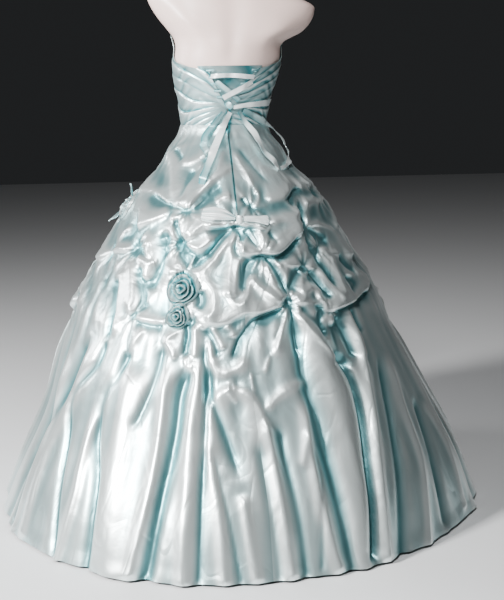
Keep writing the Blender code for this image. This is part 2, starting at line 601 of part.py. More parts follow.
def make_rosette(name, azimuth, height, radius, stand, turns, surface, collection, mat):
    """A rolled satin rose: petals wound in a spiral over a back that follows the skirt."""
    reach = surface.reach(azimuth, height)
    angles = np.arange(PETALS) * 2 * np.pi / PETALS
    front, back = [], []
    for share in PETAL_RINGS:
        spiral = 0.5 + 0.5 * np.cos(2 * np.pi * (turns * share) - angles)
        scallop = 1 + 0.06 * share * np.cos(5 * angles + 4 * share)
        u, v = radius * share * scallop * np.cos(angles), radius * share * scallop * np.sin(angles)
        around = azimuth + np.degrees(u / reach)
        base = np.array([surface.cover(a, height + dz, ROSETTE_CLEAR) for a, dz in zip(around, v)]) + LAY_GAP
        rim = 1 - 0.55 * smooth_step(0.86, 1.0, share)
        dome = stand * (1 - 0.55 * share ** 2) * (0.72 + 0.28 * spiral) * rim
        back.append((around, height + v, base))
        front.append((around, height + v, base + dome))
    centre = surface.cover(azimuth, height, ROSETTE_CLEAR) + LAY_GAP

    def place(a, z, r):
        return (r * np.sin(np.radians(a)), -r * np.cos(np.radians(a)), z)

    shell = bmesh.new()
    loops = []
    for ring in back[::-1] + front[::-1]:
        loops.append([shell.verts.new(place(a, z, r)) for a, z, r in zip(*ring)])
    order = loops[:len(back)][::-1] + loops[len(back):]
    for one, two in zip(order, order[1:]):
        for k in range(PETALS):
            nxt = (k + 1) % PETALS
            shell.faces.new((one[k], one[nxt], two[nxt], two[k]))
    for ring, r in ((order[0], centre), (order[-1], centre + stand * 0.9)):
        tip = shell.verts.new(place(azimuth, height, r))
        for k in range(PETALS):
            shell.faces.new((ring[k], ring[(k + 1) % PETALS], tip))
    bmesh.ops.recalc_face_normals(shell, faces=shell.faces)
    mesh = bpy.data.meshes.new(name)
    shell.to_mesh(mesh)
    shell.free()
    corners = np.array([vertex.co for vertex in mesh.vertices])
    corners = settle(corners, [tuple(p.vertices) for p in mesh.polygons], surface, rigid=True)
    mesh.vertices.foreach_set("co", corners.ravel())
    mesh.shade_smooth()
    rose = link(bpy.data.objects.new(name, mesh), collection, mat)
    surface.add([rose])
    return rose


def main():
    clear_scene()
    collection = bpy.data.collections.new("ball_gown")
    bpy.context.scene.collection.children.link(collection)
    satin = material("satin", SATIN_COLOUR, 0.3)
    ribbon = material("ribbon", RIBBON_COLOUR, 0.35)
    form = material("form_shell", FORM_COLOUR, 0.25)
    steel = material("stand_metal", STEEL_COLOUR, 0.3, 1.0)
    make_form(collection, form, steel)
    cloth = make_bodice(collection, satin) + make_skirt(collection, satin)
    surface = Surface(cloth)
    make_lacing(surface, collection, ribbon)
    make_bow(surface, collection, ribbon)
    for name, width, path in LEAVES:
        laid_strip(name, [width, width * 0.9, 0.003], path, surface, collection, satin, wall=LEAF_WALL)
    for row in ROSETTES:
        make_rosette(*row, surface, collection, satin)


main()
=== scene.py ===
"""Looks of the strapless ball gown on its dress form, laid out as a Blender add-on and run as a script.

Places on the gown are given by azimuth in degrees (0 at the laced centre back, 90 at +X, 180 at the
centre front) and height above the floor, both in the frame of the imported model.
"""

import bpy
import numpy as np
from bpy.props import FloatProperty, FloatVectorProperty, IntProperty, PointerProperty
from mathutils import Euler, Matrix, Vector
from mathutils.bvhtree import BVHTree


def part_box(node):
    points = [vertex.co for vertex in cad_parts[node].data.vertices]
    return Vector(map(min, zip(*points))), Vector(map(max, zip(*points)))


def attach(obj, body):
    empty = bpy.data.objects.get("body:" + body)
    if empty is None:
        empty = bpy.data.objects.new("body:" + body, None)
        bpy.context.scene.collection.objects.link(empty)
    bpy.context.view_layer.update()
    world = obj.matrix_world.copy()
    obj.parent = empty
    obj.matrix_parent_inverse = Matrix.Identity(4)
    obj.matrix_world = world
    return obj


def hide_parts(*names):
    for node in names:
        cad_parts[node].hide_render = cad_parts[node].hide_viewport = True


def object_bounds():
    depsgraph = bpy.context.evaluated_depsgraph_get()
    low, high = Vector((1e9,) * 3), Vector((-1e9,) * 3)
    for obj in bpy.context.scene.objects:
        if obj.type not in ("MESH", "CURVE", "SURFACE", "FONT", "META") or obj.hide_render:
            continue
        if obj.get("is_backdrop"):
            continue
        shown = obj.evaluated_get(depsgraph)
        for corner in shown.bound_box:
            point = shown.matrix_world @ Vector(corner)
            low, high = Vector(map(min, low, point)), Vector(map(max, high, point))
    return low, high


bl_info = {
    "name": "Ball Gown",
    "version": (1, 0, 0),
    "blender": (4, 5, 0),
    "location": "View3D > Sidebar > Gown",
    "description": "Models a satin ball gown with a laced back on a limbless dress form",
    "category": "Add Mesh",
}

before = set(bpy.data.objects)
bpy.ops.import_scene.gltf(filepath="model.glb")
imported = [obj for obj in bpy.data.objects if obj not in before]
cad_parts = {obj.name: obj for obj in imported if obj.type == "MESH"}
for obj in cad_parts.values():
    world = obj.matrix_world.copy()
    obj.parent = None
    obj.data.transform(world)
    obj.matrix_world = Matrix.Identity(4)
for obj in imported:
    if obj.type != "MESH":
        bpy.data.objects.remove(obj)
CAD_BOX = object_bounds()
MM = 0.001
KNOT_Z = 1.113

WAIST_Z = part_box("skirt_front")[1][2]
BODY_RADIUS = 0.13
HALF_SEAM = 0.00035
SIDE_SEAM = 100.0
SHOULDER_TILT = -0.11
BODY_LEAN = 0.026
HEM_OFFSET = 0.027

# Skirt rings: height, half width, half depth
SKIRT_RINGS = [
    (0.00, 0.675, 0.675), (0.15, 0.621, 0.621), (0.28, 0.563, 0.563), (0.40, 0.512, 0.512),
    (0.52, 0.456, 0.456), (0.62, 0.410, 0.410), (0.70, 0.360, 0.365), (0.78, 0.322, 0.325),
    (0.84, 0.290, 0.290), (0.90, 0.238, 0.238), (0.95, 0.190, 0.190), (1.00, 0.158, 0.145),
    (1.03, 0.132, 0.112), (1.06, 0.120, 0.098),
]
# Body rings: height, half width, half depth
BODY_RINGS = [
    (0.785, 0.105, 0.075), (0.79, 0.130, 0.095), (0.81, 0.150, 0.108), (0.88, 0.160, 0.118),
    (0.96, 0.146, 0.112), (1.02, 0.124, 0.101), (1.06, 0.1185, 0.0975), (1.10, 0.1215, 0.101),
    (1.13, 0.1265, 0.105), (1.18, 0.1415, 0.112), (1.24, 0.149, 0.117), (1.275, 0.149, 0.114),
    (1.290, 0.157, 0.109), (1.305, 0.174, 0.104), (1.330, 0.203, 0.097), (1.358, 0.222, 0.089),
    (1.385, 0.229, 0.078), (1.402, 0.226, 0.070), (1.412, 0.206, 0.064), (1.422, 0.155, 0.057),
    (1.434, 0.098, 0.054), (1.455, 0.068, 0.053), (1.49, 0.058, 0.053), (1.545, 0.055, 0.052),
    (1.55, 0.050, 0.047),
]
# Top edge of the bodice: azimuth from the centre back, height
NECKLINE = [(0, 1.203), (30, 1.208), (60, 1.224), (80, 1.240), (92, 1.275), (100, 1.289), (120, 1.300),
            (150, 1.318), (165, 1.315), (180, 1.290)]
# Open edges of the laced back, which meet below the knot: height, left azimuth, right azimuth
LACED_EDGES = [(1.06, -0.4, 0.4), (1.105, -0.8, 0.8), (1.13, -7.5, 5.5), (1.17, -16.5, 17.0),
               (1.215, -24.5, 33.0)]
# Modesty panel behind the lacing: height, half angle
MODESTY_SPREAD = [(1.105, 9.0), (1.17, 24.0), (1.23, 41.0)]

# Two zoomed views of the back: left, top, enlargement
UPPER_VIEW, LOWER_VIEW = (100, 130, 5.227), (0, 300, 3.11)
# Folds of the skirt as read from them, one to a row: sharpness (1 a crease, 2 a soft swell), height (mm,
# minus for a valley), reach above or right and reach below or left (mm), places on its way in the view
UPPER_FOLDS = """
1.6 8 22 14 372,80 385,170 392,260 400,370
1.6 -9 7 7 392,95 410,130 432,158
1.3 6 14 8 425,168 480,165 545,130 600,90
1.5 -6 10 10 490,200 455,280 420,365
1.5 6 16 10 545,150 500,230 450,330 425,400
1.3 9 30 10 215,330 240,300 290,315 335,350 380,385 450,430
1.6 -7 8 10 250,345 330,385 400,405 465,438
1.4 11 34 11 440,428 500,350 560,285 620,235 700,175
1.6 -7 10 14 480,440 550,370 600,320 640,300
1.4 12 30 12 190,505 240,480 300,455 372,428
1.3 9 10 10 372,428 385,470 372,505 395,560 418,588
1.6 -14 16 20 325,520 335,600 325,680 290,770 245,850
1.5 8 16 22 250,510 255,620 245,720 225,800
1.3 8 10 8 175,500 130,535 108,590 130,612 178,620
1.4 10 12 10 60,640 100,622 178,612
1.3 7 8 8 190,655 240,680 300,700
1.6 -8 6 8 190,632 230,655 275,688
1.4 9 9 14 178,650 172,720 178,820 168,930 175,965
1.6 -12 14 14 200,700 212,800 218,880 222,960
1.5 -13 16 16 95,760 80,860 55,980 25,1110
1.4 9 14 14 130,720 110,800 90,950 75,1100
1.4 10 22 10 0,660 40,650 65,630
1.3 8 9 9 170,970 230,985 300,998 355,1000
1.6 -8 8 12 170,1000 250,1025 330,1035
1.4 8 12 12 240,1030 185,1100 140,1190
1.6 -12 10 10 385,440 395,500 410,560 425,600 440,680 455,745
1.3 9 18 9 420,590 470,548 520,505 560,485 640,490
1.6 -8 10 12 440,610 490,650 530,690
1.4 8 12 12 440,600 500,620 555,600 600,560
1.4 9 10 16 440,752 520,735 570,700 620,640 680,560 712,520
1.6 -10 14 6 470,720 530,690 575,640 640,575 700,525
1.3 7 8 8 355,745 400,738 445,752
1.3 6 8 8 380,715 420,700 445,745
1.4 11 16 14 480,772 545,785 585,830 600,890 585,945 545,985
1.6 -10 12 12 520,840 530,890 515,940
1.2 9 8 6 540,502 600,494 690,492 760,492 830,500 880,515
1.6 -9 6 12 550,525 640,520 712,512 800,520 880,530
1.6 -11 12 12 700,525 640,565 592,625 560,680
1.6 -8 7 7 735,525 738,560 735,590
1.5 -9 12 10 750,525 790,575 840,615
1.3 6 8 8 805,535 835,528 850,560 850,612
1.5 -7 10 10 870,530 900,560 930,600
1.4 7 16 14 700,600 680,700 672,790 668,880
1.25 13 22 9 715,615 740,632 790,638 850,634 915,628 960,605 1005,560 1040,500 1055,455
1.6 -13 6 12 760,662 850,655 920,650 985,620 1040,540
1.3 9 10 10 715,590 740,600 745,640
1.4 10 12 14 735,650 718,720 710,800 700,880
1.6 -10 12 12 800,670 765,720 755,790 745,850
1.3 9 9 9 795,745 775,800 770,850 740,900 700,900 675,850 662,800
1.4 11 12 12 785,750 810,790 850,830 905,860 980,888
1.4 8 14 12 850,680 895,770 940,840 985,885
1.7 -15 12 10 862,655 905,705 945,780 985,875
1.2 10 12 8 930,720 955,695 1010,705 1075,712 1135,722
1.6 -12 12 12 1050,545 1005,610 960,665 925,700
1.6 -12 10 12 1060,735 1020,775 1000,850
1.3 9 9 9 1072,735 1055,790 1042,850
1.3 8 9 9 1080,735 1120,790 1165,860
1.7 -16 12 14 1095,740 1150,805 1215,890
1.3 9 12 9 1135,722 1190,780 1235,850 1262,885
1.4 12 12 12 990,885 1045,880 1070,845 1105,820 1140,850 1145,920
1.3 11 26 9 850,352 910,358 965,340 1010,302 1070,275 1130,262
1.7 -13 8 14 1050,300 1010,340 998,400
1.6 -8 7 9 745,350 762,380 770,405
1.3 7 7 7 800,312 828,330 826,375 795,405
1.3 7 8 8 600,380 640,350 690,340
1.3 10 18 9 880,485 950,462 1015,452 1040,400
1.7 -14 12 12 1035,345 1062,420 1075,510 1105,600 1155,690 1200,770 1240,860
1.3 9 12 9 1060,372 1100,380 1150,352 1180,345
1.4 12 12 12 1180,350 1205,430 1222,520
1.6 -13 16 16 1095,515 1150,560 1200,590
1.3 9 10 8 1090,503 1150,492 1222,525
1.3 9 10 10 1150,620 1195,640 1240,640
1.3 11 10 14 1190,650 1230,740 1268,865
1.6 -12 14 12 1240,650 1300,720 1330,740
1.4 10 14 14 1260,640 1300,635 1330,650
1.3 15 30 9 1160,935 1200,928 1290,890 1345,850 1385,795 1390,755
1.4 9 12 10 1268,748 1330,745 1385,752
1.6 -9 12 12 1280,775 1330,800 1310,850
1.7 -12 6 14 1200,950 1290,915 1350,880 1400,830
1.3 9 10 10 1290,925 1320,1010 1350,1100 1385,1200
1.6 -12 12 12 1310,930 1345,1010 1370,1060
1.6 -14 12 14 1235,950 1290,1090 1340,1200
1.3 9 12 10 1185,950 1230,1050 1280,1200
1.6 -10 12 12 1150,900 1148,1000 1185,1085
1.25 17 36 9 480,1000 560,998 650,990 700,962 760,935 830,932 905,905 985,893
1.7 -17 7 18 695,1205 708,1150 745,1070 805,1000 890,962 985,915
1.4 9 14 12 850,965 765,1050 722,1130 705,1205
1.3 7 10 10 655,1010 690,1050 700,1090
1.3 9 12 12 978,915 955,1010 905,1200
1.6 -12 9 9 998,920 1018,1040 1045,1200
1.3 12 16 10 1012,925 1095,1055 1180,1140 1230,1200
1.6 -9 12 10 1030,920 1120,1000 1190,1080
1.3 -6 6 6 985,915 930,1060 880,1200
1.7 -14 9 9 458,1000 455,1090 445,1200
1.3 8 8 8 430,1040 352,1090 382,1150 392,1205
1.3 8 9 9 490,1010 500,1100 495,1200
1.5 -8 9 9 555,1020 590,1100 620,1200
1.3 7 8 8 580,1015 620,1090 650,1150
"""
LOWER_FOLDS = """
1.6 -14 12 16 285,100 225,250 135,430 45,680
1.4 12 22 22 305,110 240,280 160,460 80,720
1.6 -11 9 9 335,100 300,200 235,290 205,450 165,790
1.3 12 8 16 400,150 345,270 290,400 262,500 235,620 180,835
1.7 -15 8 12 430,115 375,215 318,330 300,440 300,560 282,700 265,840
1.8 14 40 34 440,190 390,350 355,560 345,850
1.3 -8 8 8 510,130 490,230 445,340 412,408
1.3 15 12 16 530,175 512,330 492,480 452,680 412,855
1.7 -17 14 12 612,190 562,285 545,400 512,560 482,700 450,865
1.6 14 18 18 620,160 618,260 598,400 588,560 575,720 570,880
1.2 -10 8 6 640,90 636,260 640,400 625,600 615,880
1.3 6 5 5 585,125 578,190 592,212 602,180
1.3 -15 10 9 652,180 650,280 668,340 705,440 755,575
1.4 10 12 12 640,400 665,540 690,700 700,880
1.2 -7 6 6 655,440 692,600 722,740 747,880
1.3 10 7 26 646,500 650,400 662,322 686,288 722,276 768,288 800,320 832,400 862,500
1.2 4 4 4 705,262 725,300 740,320
1.2 4 4 4 700,290 720,250 735,285
1.2 8 6 10 820,352 848,312 888,278 935,258 962,268
1.2 4 4 4 780,225 785,260 795,290
1.2 4 4 4 860,110 835,190 822,230
1.3 8 9 12 652,90 662,190 690,226 738,212 772,170
1.6 -16 16 14 905,45 930,140 950,260 992,400 1035,560 1095,835
1.25 10 8 12 822,360 845,460 878,640 912,860
1.6 -12 10 12 860,370 895,520 935,700 955,860
1.3 11 8 14 945,265 962,420 978,520 1005,650 1055,835
1.2 5 5 7 960,400 948,460 942,525
1.2 -6 5 5 962,430 992,540 1002,680 1003,840
1.8 17 34 34 925,40 1000,180 1055,330 1090,520 1120,820
1.3 -24 8 9 1000,110 1085,225 1116,310 1135,430 1148,560 1160,805
1.3 17 14 12 1080,40 1112,150 1142,280 1162,430 1182,600 1200,800
1.6 -14 14 12 1035,60 1055,140 1092,222
1.6 -13 12 12 1172,150 1205,300 1232,450 1250,620 1255,795
1.4 10 14 14 1190,150 1250,330 1300,480 1330,760
1.6 -10 12 12 1285,290 1340,470 1385,690
1.4 9 12 12 1300,300 1375,440 1440,640
1.6 -9 10 10 1385,400 1430,500 1465,600
1.4 9 10 10 755,600 770,700 800,870
1.5 -8 10 10 800,430 825,560 850,700 870,870
"""
# Tacks of the back in the upper view: place, depth and radius (mm), number and height (mm) of its folds
TACKS = [
    ((460, 428), 8, 14, 9, 4), ((420, 592), 12, 18, 9, 4), ((180, 625), 12, 18, 7, 4),
    ((175, 968), 8, 14, 7, 3), ((482, 1002), 8, 12, 7, 3), ((715, 512), 8, 14, 13, 4),
    ((850, 640), 10, 14, 11, 4), ((1075, 718), 12, 16, 7, 3), ((985, 900), 13, 16, 13, 5),
    ((795, 405), 7, 12, 7, 3), ((1115, 335), 9, 14, 9, 4), ((1098, 512), 11, 16, 9, 4),
    ((1148, 622), 9, 14, 9, 4), ((1195, 935), 8, 14, 9, 4), ((442, 752), 8, 12, 9, 4),
    ((60, 640), 9, 16, 5, 3), ((1330, 655), 8, 14, 9, 4), ((380, 100), 5, 14, 7, 3),
]
# Long folds of the sides: height (mm, minus for a valley), reach to each side (mm), way (azimuth, height)
LONG_FOLDS = [
    (-16, 26, [(-76, 0.56), (-77, 0.30), (-79, -0.1)]),
    (14, 26, [(-70, 0.52), (-69, 0.28), (-69, -0.1)]),
    (14, 28, [(68, 0.56), (66, 0.30), (66, -0.1)]),
    (-14, 24, [(76, 0.56), (74, 0.30), (73, -0.1)]),
]
# Fine creases by the waist: height (mm, minus for a valley), reach (mm), way (azimuth, height)
CREASES = [
    (6, 10, [(2, 1.000), (10, 0.940), (14, 0.880)]),
    (-6, 12, [(6, 1.010), (18, 0.950), (26, 0.900)]),
    (6, 12, [(-6, 1.010), (-12, 0.950), (-24, 0.890)]),
    (-5, 10, [(-16, 1.010), (-26, 0.950), (-36, 0.900)]),
]
# The hidden front repeats the pick-ups in staggered rounds: height, first azimuth, spacing, number
FRONT_ROUNDS = [(0.600, 88.0, 26.5, 8), (0.725, 98.0, 27.0, 7), (0.865, 92.0, 35.0, 6)]
FRONT_FOLD_FROM, FRONT_FOLD_STEP, FRONT_FOLD_COUNT = 82.0, 10.4, 19

# Sweep of the hem: how far it trails (minus where it is drawn in), azimuth of its middle, half angle
HEM_SWEEP = [(0.030, -24.0, 32.0), (-0.012, 48.0, 22.0), (0.012, 84.0, 18.0)]
# Places where the skirt hangs slacker: depth, azimuth, half angle, height, half height
SLACK = [(0.028, -93.0, 34.0, 0.33, 0.20), (0.013, -88.0, 32.0, 0.87, 0.14), (0.009, 82.0, 26.0, 0.88, 0.10)]

# Skirt panels: name, from and to azimuth, width, length and area of the cut cloth
SKIRT_PANELS = [("skirt_back_left", -SIDE_SEAM, 0.0, (1.5, 1.45, 1.2)),
                ("skirt_back_right", 0.0, SIDE_SEAM, (1.5, 1.45, 1.2)),
                ("skirt_front", SIDE_SEAM, 360 - SIDE_SEAM, (2.3, 1.45, 1.9))]

# Ribbons of the laced back, read from its own view: name, widths, tones of painted shade and highlight (0 deep
# painted shade, 1 painted highlight), way in the view
LACED_VIEW = (140, 0, 7.84)
RIBBONS = [
    ("lacing_bar_top", [0.011, 0.012], [0.7, 0.95, 0.8], [(562, 600), (700, 590), (885, 606)]),
    ("lacing_crossing_left", [0.013, 0.012], [0.15, 0.35, 0.05], [(600, 640), (690, 715), (768, 790)]),
    ("lacing_crossing_right", [0.013, 0.014], [0.9, 0.75], [(872, 640), (770, 700), (652, 768)]),
    ("lacing_tail_short_right", [0.009, 0.015, 0.018], [0.9, 1.0], [(728, 842), (850, 820), (1018, 800)]),
    ("lacing_loop_right_inner", [0.012, 0.015, 0.016], [0.05, 0.8, 0.4, 0.9],
     [(772, 872), (850, 1030), (925, 1165), (1005, 1255), (1078, 1318)]),
    ("lacing_loop_right_outer", [0.020, 0.014, 0.011, 0.012], [0.05, 0.5, 0.9, 0.95],
     [(800, 868), (900, 930), (985, 985), (1065, 1060), (1122, 1150), (1148, 1235), (1100, 1316)]),
    ("lacing_tail_left", [0.012, 0.018, 0.019], [0.5, 1.0, 0.9, 0.15, 0.0],
     [(705, 880), (650, 1000), (605, 1130), (555, 1280), (492, 1440)]),
    ("lacing_loop_left", [0.010, 0.017, 0.014], [0.1, 0.0, 0.3],
     [(652, 880), (582, 980), (535, 1070), (545, 1190)]),
]
LACING_LOOP_LENGTH = 0.018
LACING_LOOP_HEIGHTS = [1.205, 1.187, 1.169, 1.151, 1.134]
# Flat bow, read from the upper view: name, widths, tones of painted shade and highlight, way
BOW_LOOPS = [
    ("bow_loop_left", [0.010, 0.030, 0.044, 0.030], [0.1, 0.95, 0.6], [(706, 460), (625, 438), (540, 434)]),
    ("bow_loop_right", [0.012, 0.018, 0.028], [0.9, 0.95, 0.85], [(748, 462), (810, 464), (872, 472)]),
]
BOW_BAND = ("bow_band", [0.013, 0.011, 0.013], [0.8, 0.9], [(727, 445), (728, 484)])
# Rosettes: name, azimuth, height, radius, how far it stands out, turn of its outline, length of satin
ROSETTES = [("rosette_upper", -22.6, 0.664, 0.043, 0.034, 11, 0.38),
            ("rosette_lower", -23.2, 0.598, 0.031, 0.028, 9, 0.21),
            ("rosette_side", -78.0, 0.842, 0.030, 0.024, 9, 0.20)]
# Width of the satin that a rosette is rolled from, and radius of the skirt under the rosettes
SATIN_STRIP, ROSE_BED = 0.05, 0.36
# Side leaves: name, widths, way (azimuth, height)
LEAVES = [("side_leaf_up", [0.012, 0.014, 0.002], [(-81.0, 0.868), (-80.5, 0.885), (-79.5, 0.906)]),
          ("side_leaf_down", [0.014, 0.024, 0.002], [(-84.5, 0.830), (-88, 0.816), (-91, 0.800)])]

# Camera: distance from the pole, height, degrees to the left of the centre back, pitch, yaw and roll
CAMERA = (3.4, 1.162, 6.0, 9.95, 1.18, 1.0)
PHOTO_WIDTH, PHOTO_HEIGHT, FOCAL_PIXELS, SENSOR = 504, 600, 1216, 36.0
# Soft lights, all aimed at the hips: name, place, size (m), power (W), colour
LIGHTS = [("key", (-2.95, -2.12, 2.3), 0.5, 415, (1.0, 0.99, 0.98)),
          ("side", (-2.7, 0.6, 1.6), 0.7, 38, (0.98, 0.98, 1.0)),
          ("top", (-0.8, -2.3, 3.2), 0.5, 105, (1.0, 1.0, 1.0)),
          ("fill", (2.8, -2.6, 1.0), 1.2, 0.5, (0.95, 0.98, 1.0))]
LIT_HEIGHT = 0.75


class GownSizes(bpy.types.PropertyGroup):
    skirt_columns: IntProperty(name="Skirt columns", description="Columns across a skirt panel", default=200)
    skirt_rows: IntProperty(name="Skirt rows", description="Rows from hem to waist", default=220)
    satin_wall: FloatProperty(name="Satin wall", description="Thickness of the skirt's cloth and interlining",
                              default=0.0014, unit="LENGTH")
    ribbon_wall: FloatProperty(name="Ribbon wall", description="Thickness of the ribbon", default=0.0007,
                               unit="LENGTH")
    lay_gap: FloatProperty(name="Lay gap", description="Gap between a trim and the cloth that it lies on",
                           default=0.0006, unit="LENGTH")


class GownColours(bpy.types.PropertyGroup):
    # Painted highlight: this colour goes on the crests of folds and blends into the level cloth
    satin: FloatVectorProperty(name="Satin", description="Aqua satin in the light", subtype="COLOR",
                               default=(0.84, 0.93, 0.925))
    # Painted half-shade: this colour on the slopes of folds stands in for the shade there
    satin_painted_half_shade: FloatVectorProperty(name="Satin slopes", description="Aqua satin on the slopes of folds",
                                   subtype="COLOR", default=(0.42, 0.62, 0.635))
    # Painted shade: the teal put deep in the folds stands in for the shade and coloured bounce light there
    satin_painted_shade: FloatVectorProperty(name="Satin hollows", description="Aqua satin deep in the folds",
                                    subtype="COLOR", default=(0.04, 0.24, 0.27))
    # Painted highlight: the ribbon's colour on its crests and lit parts
    ribbon: FloatVectorProperty(name="Ribbon", description="Ribbon of the lacing", subtype="COLOR",
                                default=(0.84, 0.91, 0.91))
    form: FloatVectorProperty(name="Dress form", description="Glossy shell of the dress form", subtype="COLOR",
                              default=(0.73, 0.56, 0.51))
    floor: FloatVectorProperty(name="Floor", description="Plain pale floor", subtype="COLOR",
                               default=(0.72, 0.73, 0.74))


def smooth_step(low, high, x):
    t = np.clip((x - low) / (high - low), 0, 1)
    return t * t * (3 - 2 * t)


def curve_through(x, xs, ys):
    """A smooth curve through a short table, by cubic Hermite pieces."""
    xs, ys = np.array(xs, float), np.array(ys, float)
    slope = np.gradient(ys, xs)
    i = np.clip(np.searchsorted(xs, x) - 1, 0, len(xs) - 2)
    width = xs[i + 1] - xs[i]
    t = np.clip((x - xs[i]) / width, 0, 1)
    a, b = (1 + 2 * t) * (1 - t) ** 2, t * t * (3 - 2 * t)
    c, d = t * (1 - t) ** 2, t * t * (t - 1)
    return a * ys[i] + b * ys[i + 1] + width * (c * slope[i] + d * slope[i + 1])


def rings_at(z, table):
    heights, widths, depths = zip(*table)
    return curve_through(z, heights, widths), curve_through(z, heights, depths)


def smooth_path(points, steps=4):
    """Points along a Catmull-Rom curve through the given ones."""
    pts = np.array(points, float)
    if len(pts) < 3:
        return pts
    ends = np.vstack([2 * pts[0] - pts[1], pts, 2 * pts[-1] - pts[-2]])
    way = []
    for p, q, r, s in zip(ends, ends[1:], ends[2:], ends[3:]):
        for t in np.arange(steps) / steps:
            way.append(0.5 * (2 * q + (r - p) * t + (2 * p - 5 * q + 4 * r - s) * t * t
                              + (3 * q - p - 3 * r + s) * t ** 3))
    return np.array(way + [pts[-1]])


def drawn_folds(rows):
    """Sharpness, height, two reaches and way of each fold in the rows of a table."""
    for row in rows.strip().splitlines():
        *numbers, way = row.split(maxsplit=4)
        yield (*map(float, numbers), [tuple(map(float, place.split(","))) for place in way.split()])


def camera_place():
    distance, height, turn, pitch, yaw, roll = CAMERA
    a = np.radians(-turn)
    facing = Euler((np.radians(90 - pitch), 0, a)).to_matrix()
    tilt = Matrix.Rotation(np.radians(-roll), 3, "Z") @ Matrix.Rotation(np.radians(-yaw), 3, "Y")
    eye = Matrix.Translation((distance * np.sin(a), -distance * np.cos(a), height))
    return eye @ (facing @ tilt).to_4x4()


def on_gown(places, view, polar=False):
    """Azimuth and height where the lines of sight through places of a zoomed view meet the plain skirt or
    body; a polar azimuth is taken about the leaning axis of the body."""
    left, top, zoom = view
    camera = np.array(camera_place())
    x, y = np.array(places, float).T / zoom + np.array([[left], [top]])
    sight = np.stack([x - PHOTO_WIDTH / 2, PHOTO_HEIGHT / 2 - y, 0 * x - FOCAL_PIXELS], axis=-1)
    sight = sight @ camera[:3, :3].T
    steps = np.linspace(2.3, 3.9, 1601)
    at = camera[:3, 3] + (sight / np.linalg.norm(sight, axis=1)[:, None])[:, None] * steps[:, None]
    z = np.clip(at[..., 2], 0, 1.3)
    skirt, body = rings_at(z, SKIRT_RINGS), rings_at(z, BODY_RINGS)
    width, depth = [np.where(z < WAIST_Z, a, b) for a, b in zip(skirt, body)]
    across, back = (at[..., 0] - skirt_lean(z) - body_lean(z)) / width, -at[..., 1] / depth
    outside = np.hypot(across, back) - 1 - swept(np.degrees(np.arctan2(across, back)), z) / width
    first = np.where((outside < 0).any(axis=1), (outside < 0).argmax(axis=1), outside.argmin(axis=1))
    pick = np.arange(len(first)), first
    if polar:
        x, y = at[pick][:, 0] - body_lean(z[pick]), at[pick][:, 1]
        return list(zip(np.degrees(np.arctan2(x, -y)), z[pick]))
    return list(zip(np.degrees(np.arctan2(across[pick], back[pick])), z[pick]))


def skirt_lean(z):
    return HEM_OFFSET * (1 - smooth_step(0.12, 0.52, z))


def swept(azimuth, z):
    """How far the hem trails, less what the skirt hangs slack."""
    trail = sum(reach * np.exp(-(turn_between(azimuth, middle) / half) ** 2)
                for reach, middle, half in HEM_SWEEP)
    slack = sum(depth * np.exp(-(turn_between(azimuth, middle) / half) ** 2 - ((z - height) / tall) ** 2)
                for depth, middle, half, height, tall in SLACK)
    return trail * (1 - smooth_step(0.05, 0.45, z)) - slack


def turn_between(a, b):
    return (a - b + 180) % 360 - 180


def beside(azimuth, z, path, reach):
    """Signed distance from a path (left of its way is positive), the share of the way along it, and a mask
    of the points near enough to matter."""
    per_degree = np.radians(rings_at(np.clip(z, 0, WAIST_Z), SKIRT_RINGS)[0])
    way = smooth_path(path)
    middle, half = way[:, 0].mean(), np.ptp(way[:, 0]) / 2
    near = (np.abs(turn_between(azimuth, middle)) * per_degree < half * per_degree + reach)
    near &= (z > way[:, 1].min() - reach) & (z < way[:, 1].max() + reach)
    a, h, k = azimuth[near], z[near], per_degree[near]
    nearest = np.full(a.shape, 9.0)
    signed, share = nearest.copy(), np.zeros(a.shape)
    for i, (p, q) in enumerate(zip(way, way[1:])):
        px, py = turn_between(p[0], a) * k, p[1] - h
        dx, dy = (q[0] - p[0]) * k, q[1] - p[1]
        t = np.clip(-(px * dx + py * dy) / (dx * dx + dy * dy), 0, 1)
        gap = np.hypot(px + t * dx, py + t * dy)
        closer = gap < nearest
        side = np.where(dy * px - dx * py < 0, -1.0, 1.0)
        nearest = np.where(closer, gap, nearest)
        signed = np.where(closer, gap * side, signed)
        share = np.where(closer, (i + t) / (len(way) - 1), share)
    return signed, share, near


def front_pickups():
    """Tacks and swags of the front, uneven like those of the back."""
    tacks, swags = [], []
    for height, first, step, count in FRONT_ROUNDS:
        line = [(first + step * k + 3 * np.sin(2.4 * k + height * 30),
                 height + 0.012 * np.sin(1.7 * k + height * 9)) for k in range(count)]
        tacks += [(a, z, 12, 20, 8, 6) for a, z in line]
        for k, ((a0, z0), (a1, z1)) in enumerate(zip(line, line[1:])):
            droop = 0.030 + 0.008 * np.sin(2.1 * k + height * 12)
            middle = ((a0 + a1) / 2 + 2 * np.sin(3.0 * k), (z0 + z1) / 2 - droop)
            odd, third = k % 2, k % 3
            swags += [
                (1.25, 12.5, 26, 8, [(a0, z0), middle, (a1, z1)]),
                (1.6, -9, 8, 14, [(a0, z0 - 0.02), (middle[0], middle[1] - 0.024), (a1, z1 - 0.02)]),
                (1.3, 9 - 3 * odd, 11, 9, [(a0 + 1, z0 + 0.01), (a0 + 6 + third, z0 + 0.035),
                                           (a0 + 8 + k % 4, z0 + 0.095 + 0.02 * odd)]),
                (1.6, -9, 10, 12, [(a1 - 1, z1 + 0.01), (a1 - 7 - odd, z1 + 0.045), (a1 - 8, z1 + 0.105)]),
                (1.3, 7, 8, 8, [(a0 + 2, z0 - 0.004), (a0 + 7, z0 + 0.004 * third), (a0 + 13, z0 + 0.03)]),
                (1.5, -8, 8, 9, [(a1, z1 - 0.01), (a1 - 3 + 2 * third, z1 - 0.06),
                                 (a1 - 6 + 4 * third, z1 - 0.11)]),
            ]
    return tacks, swags


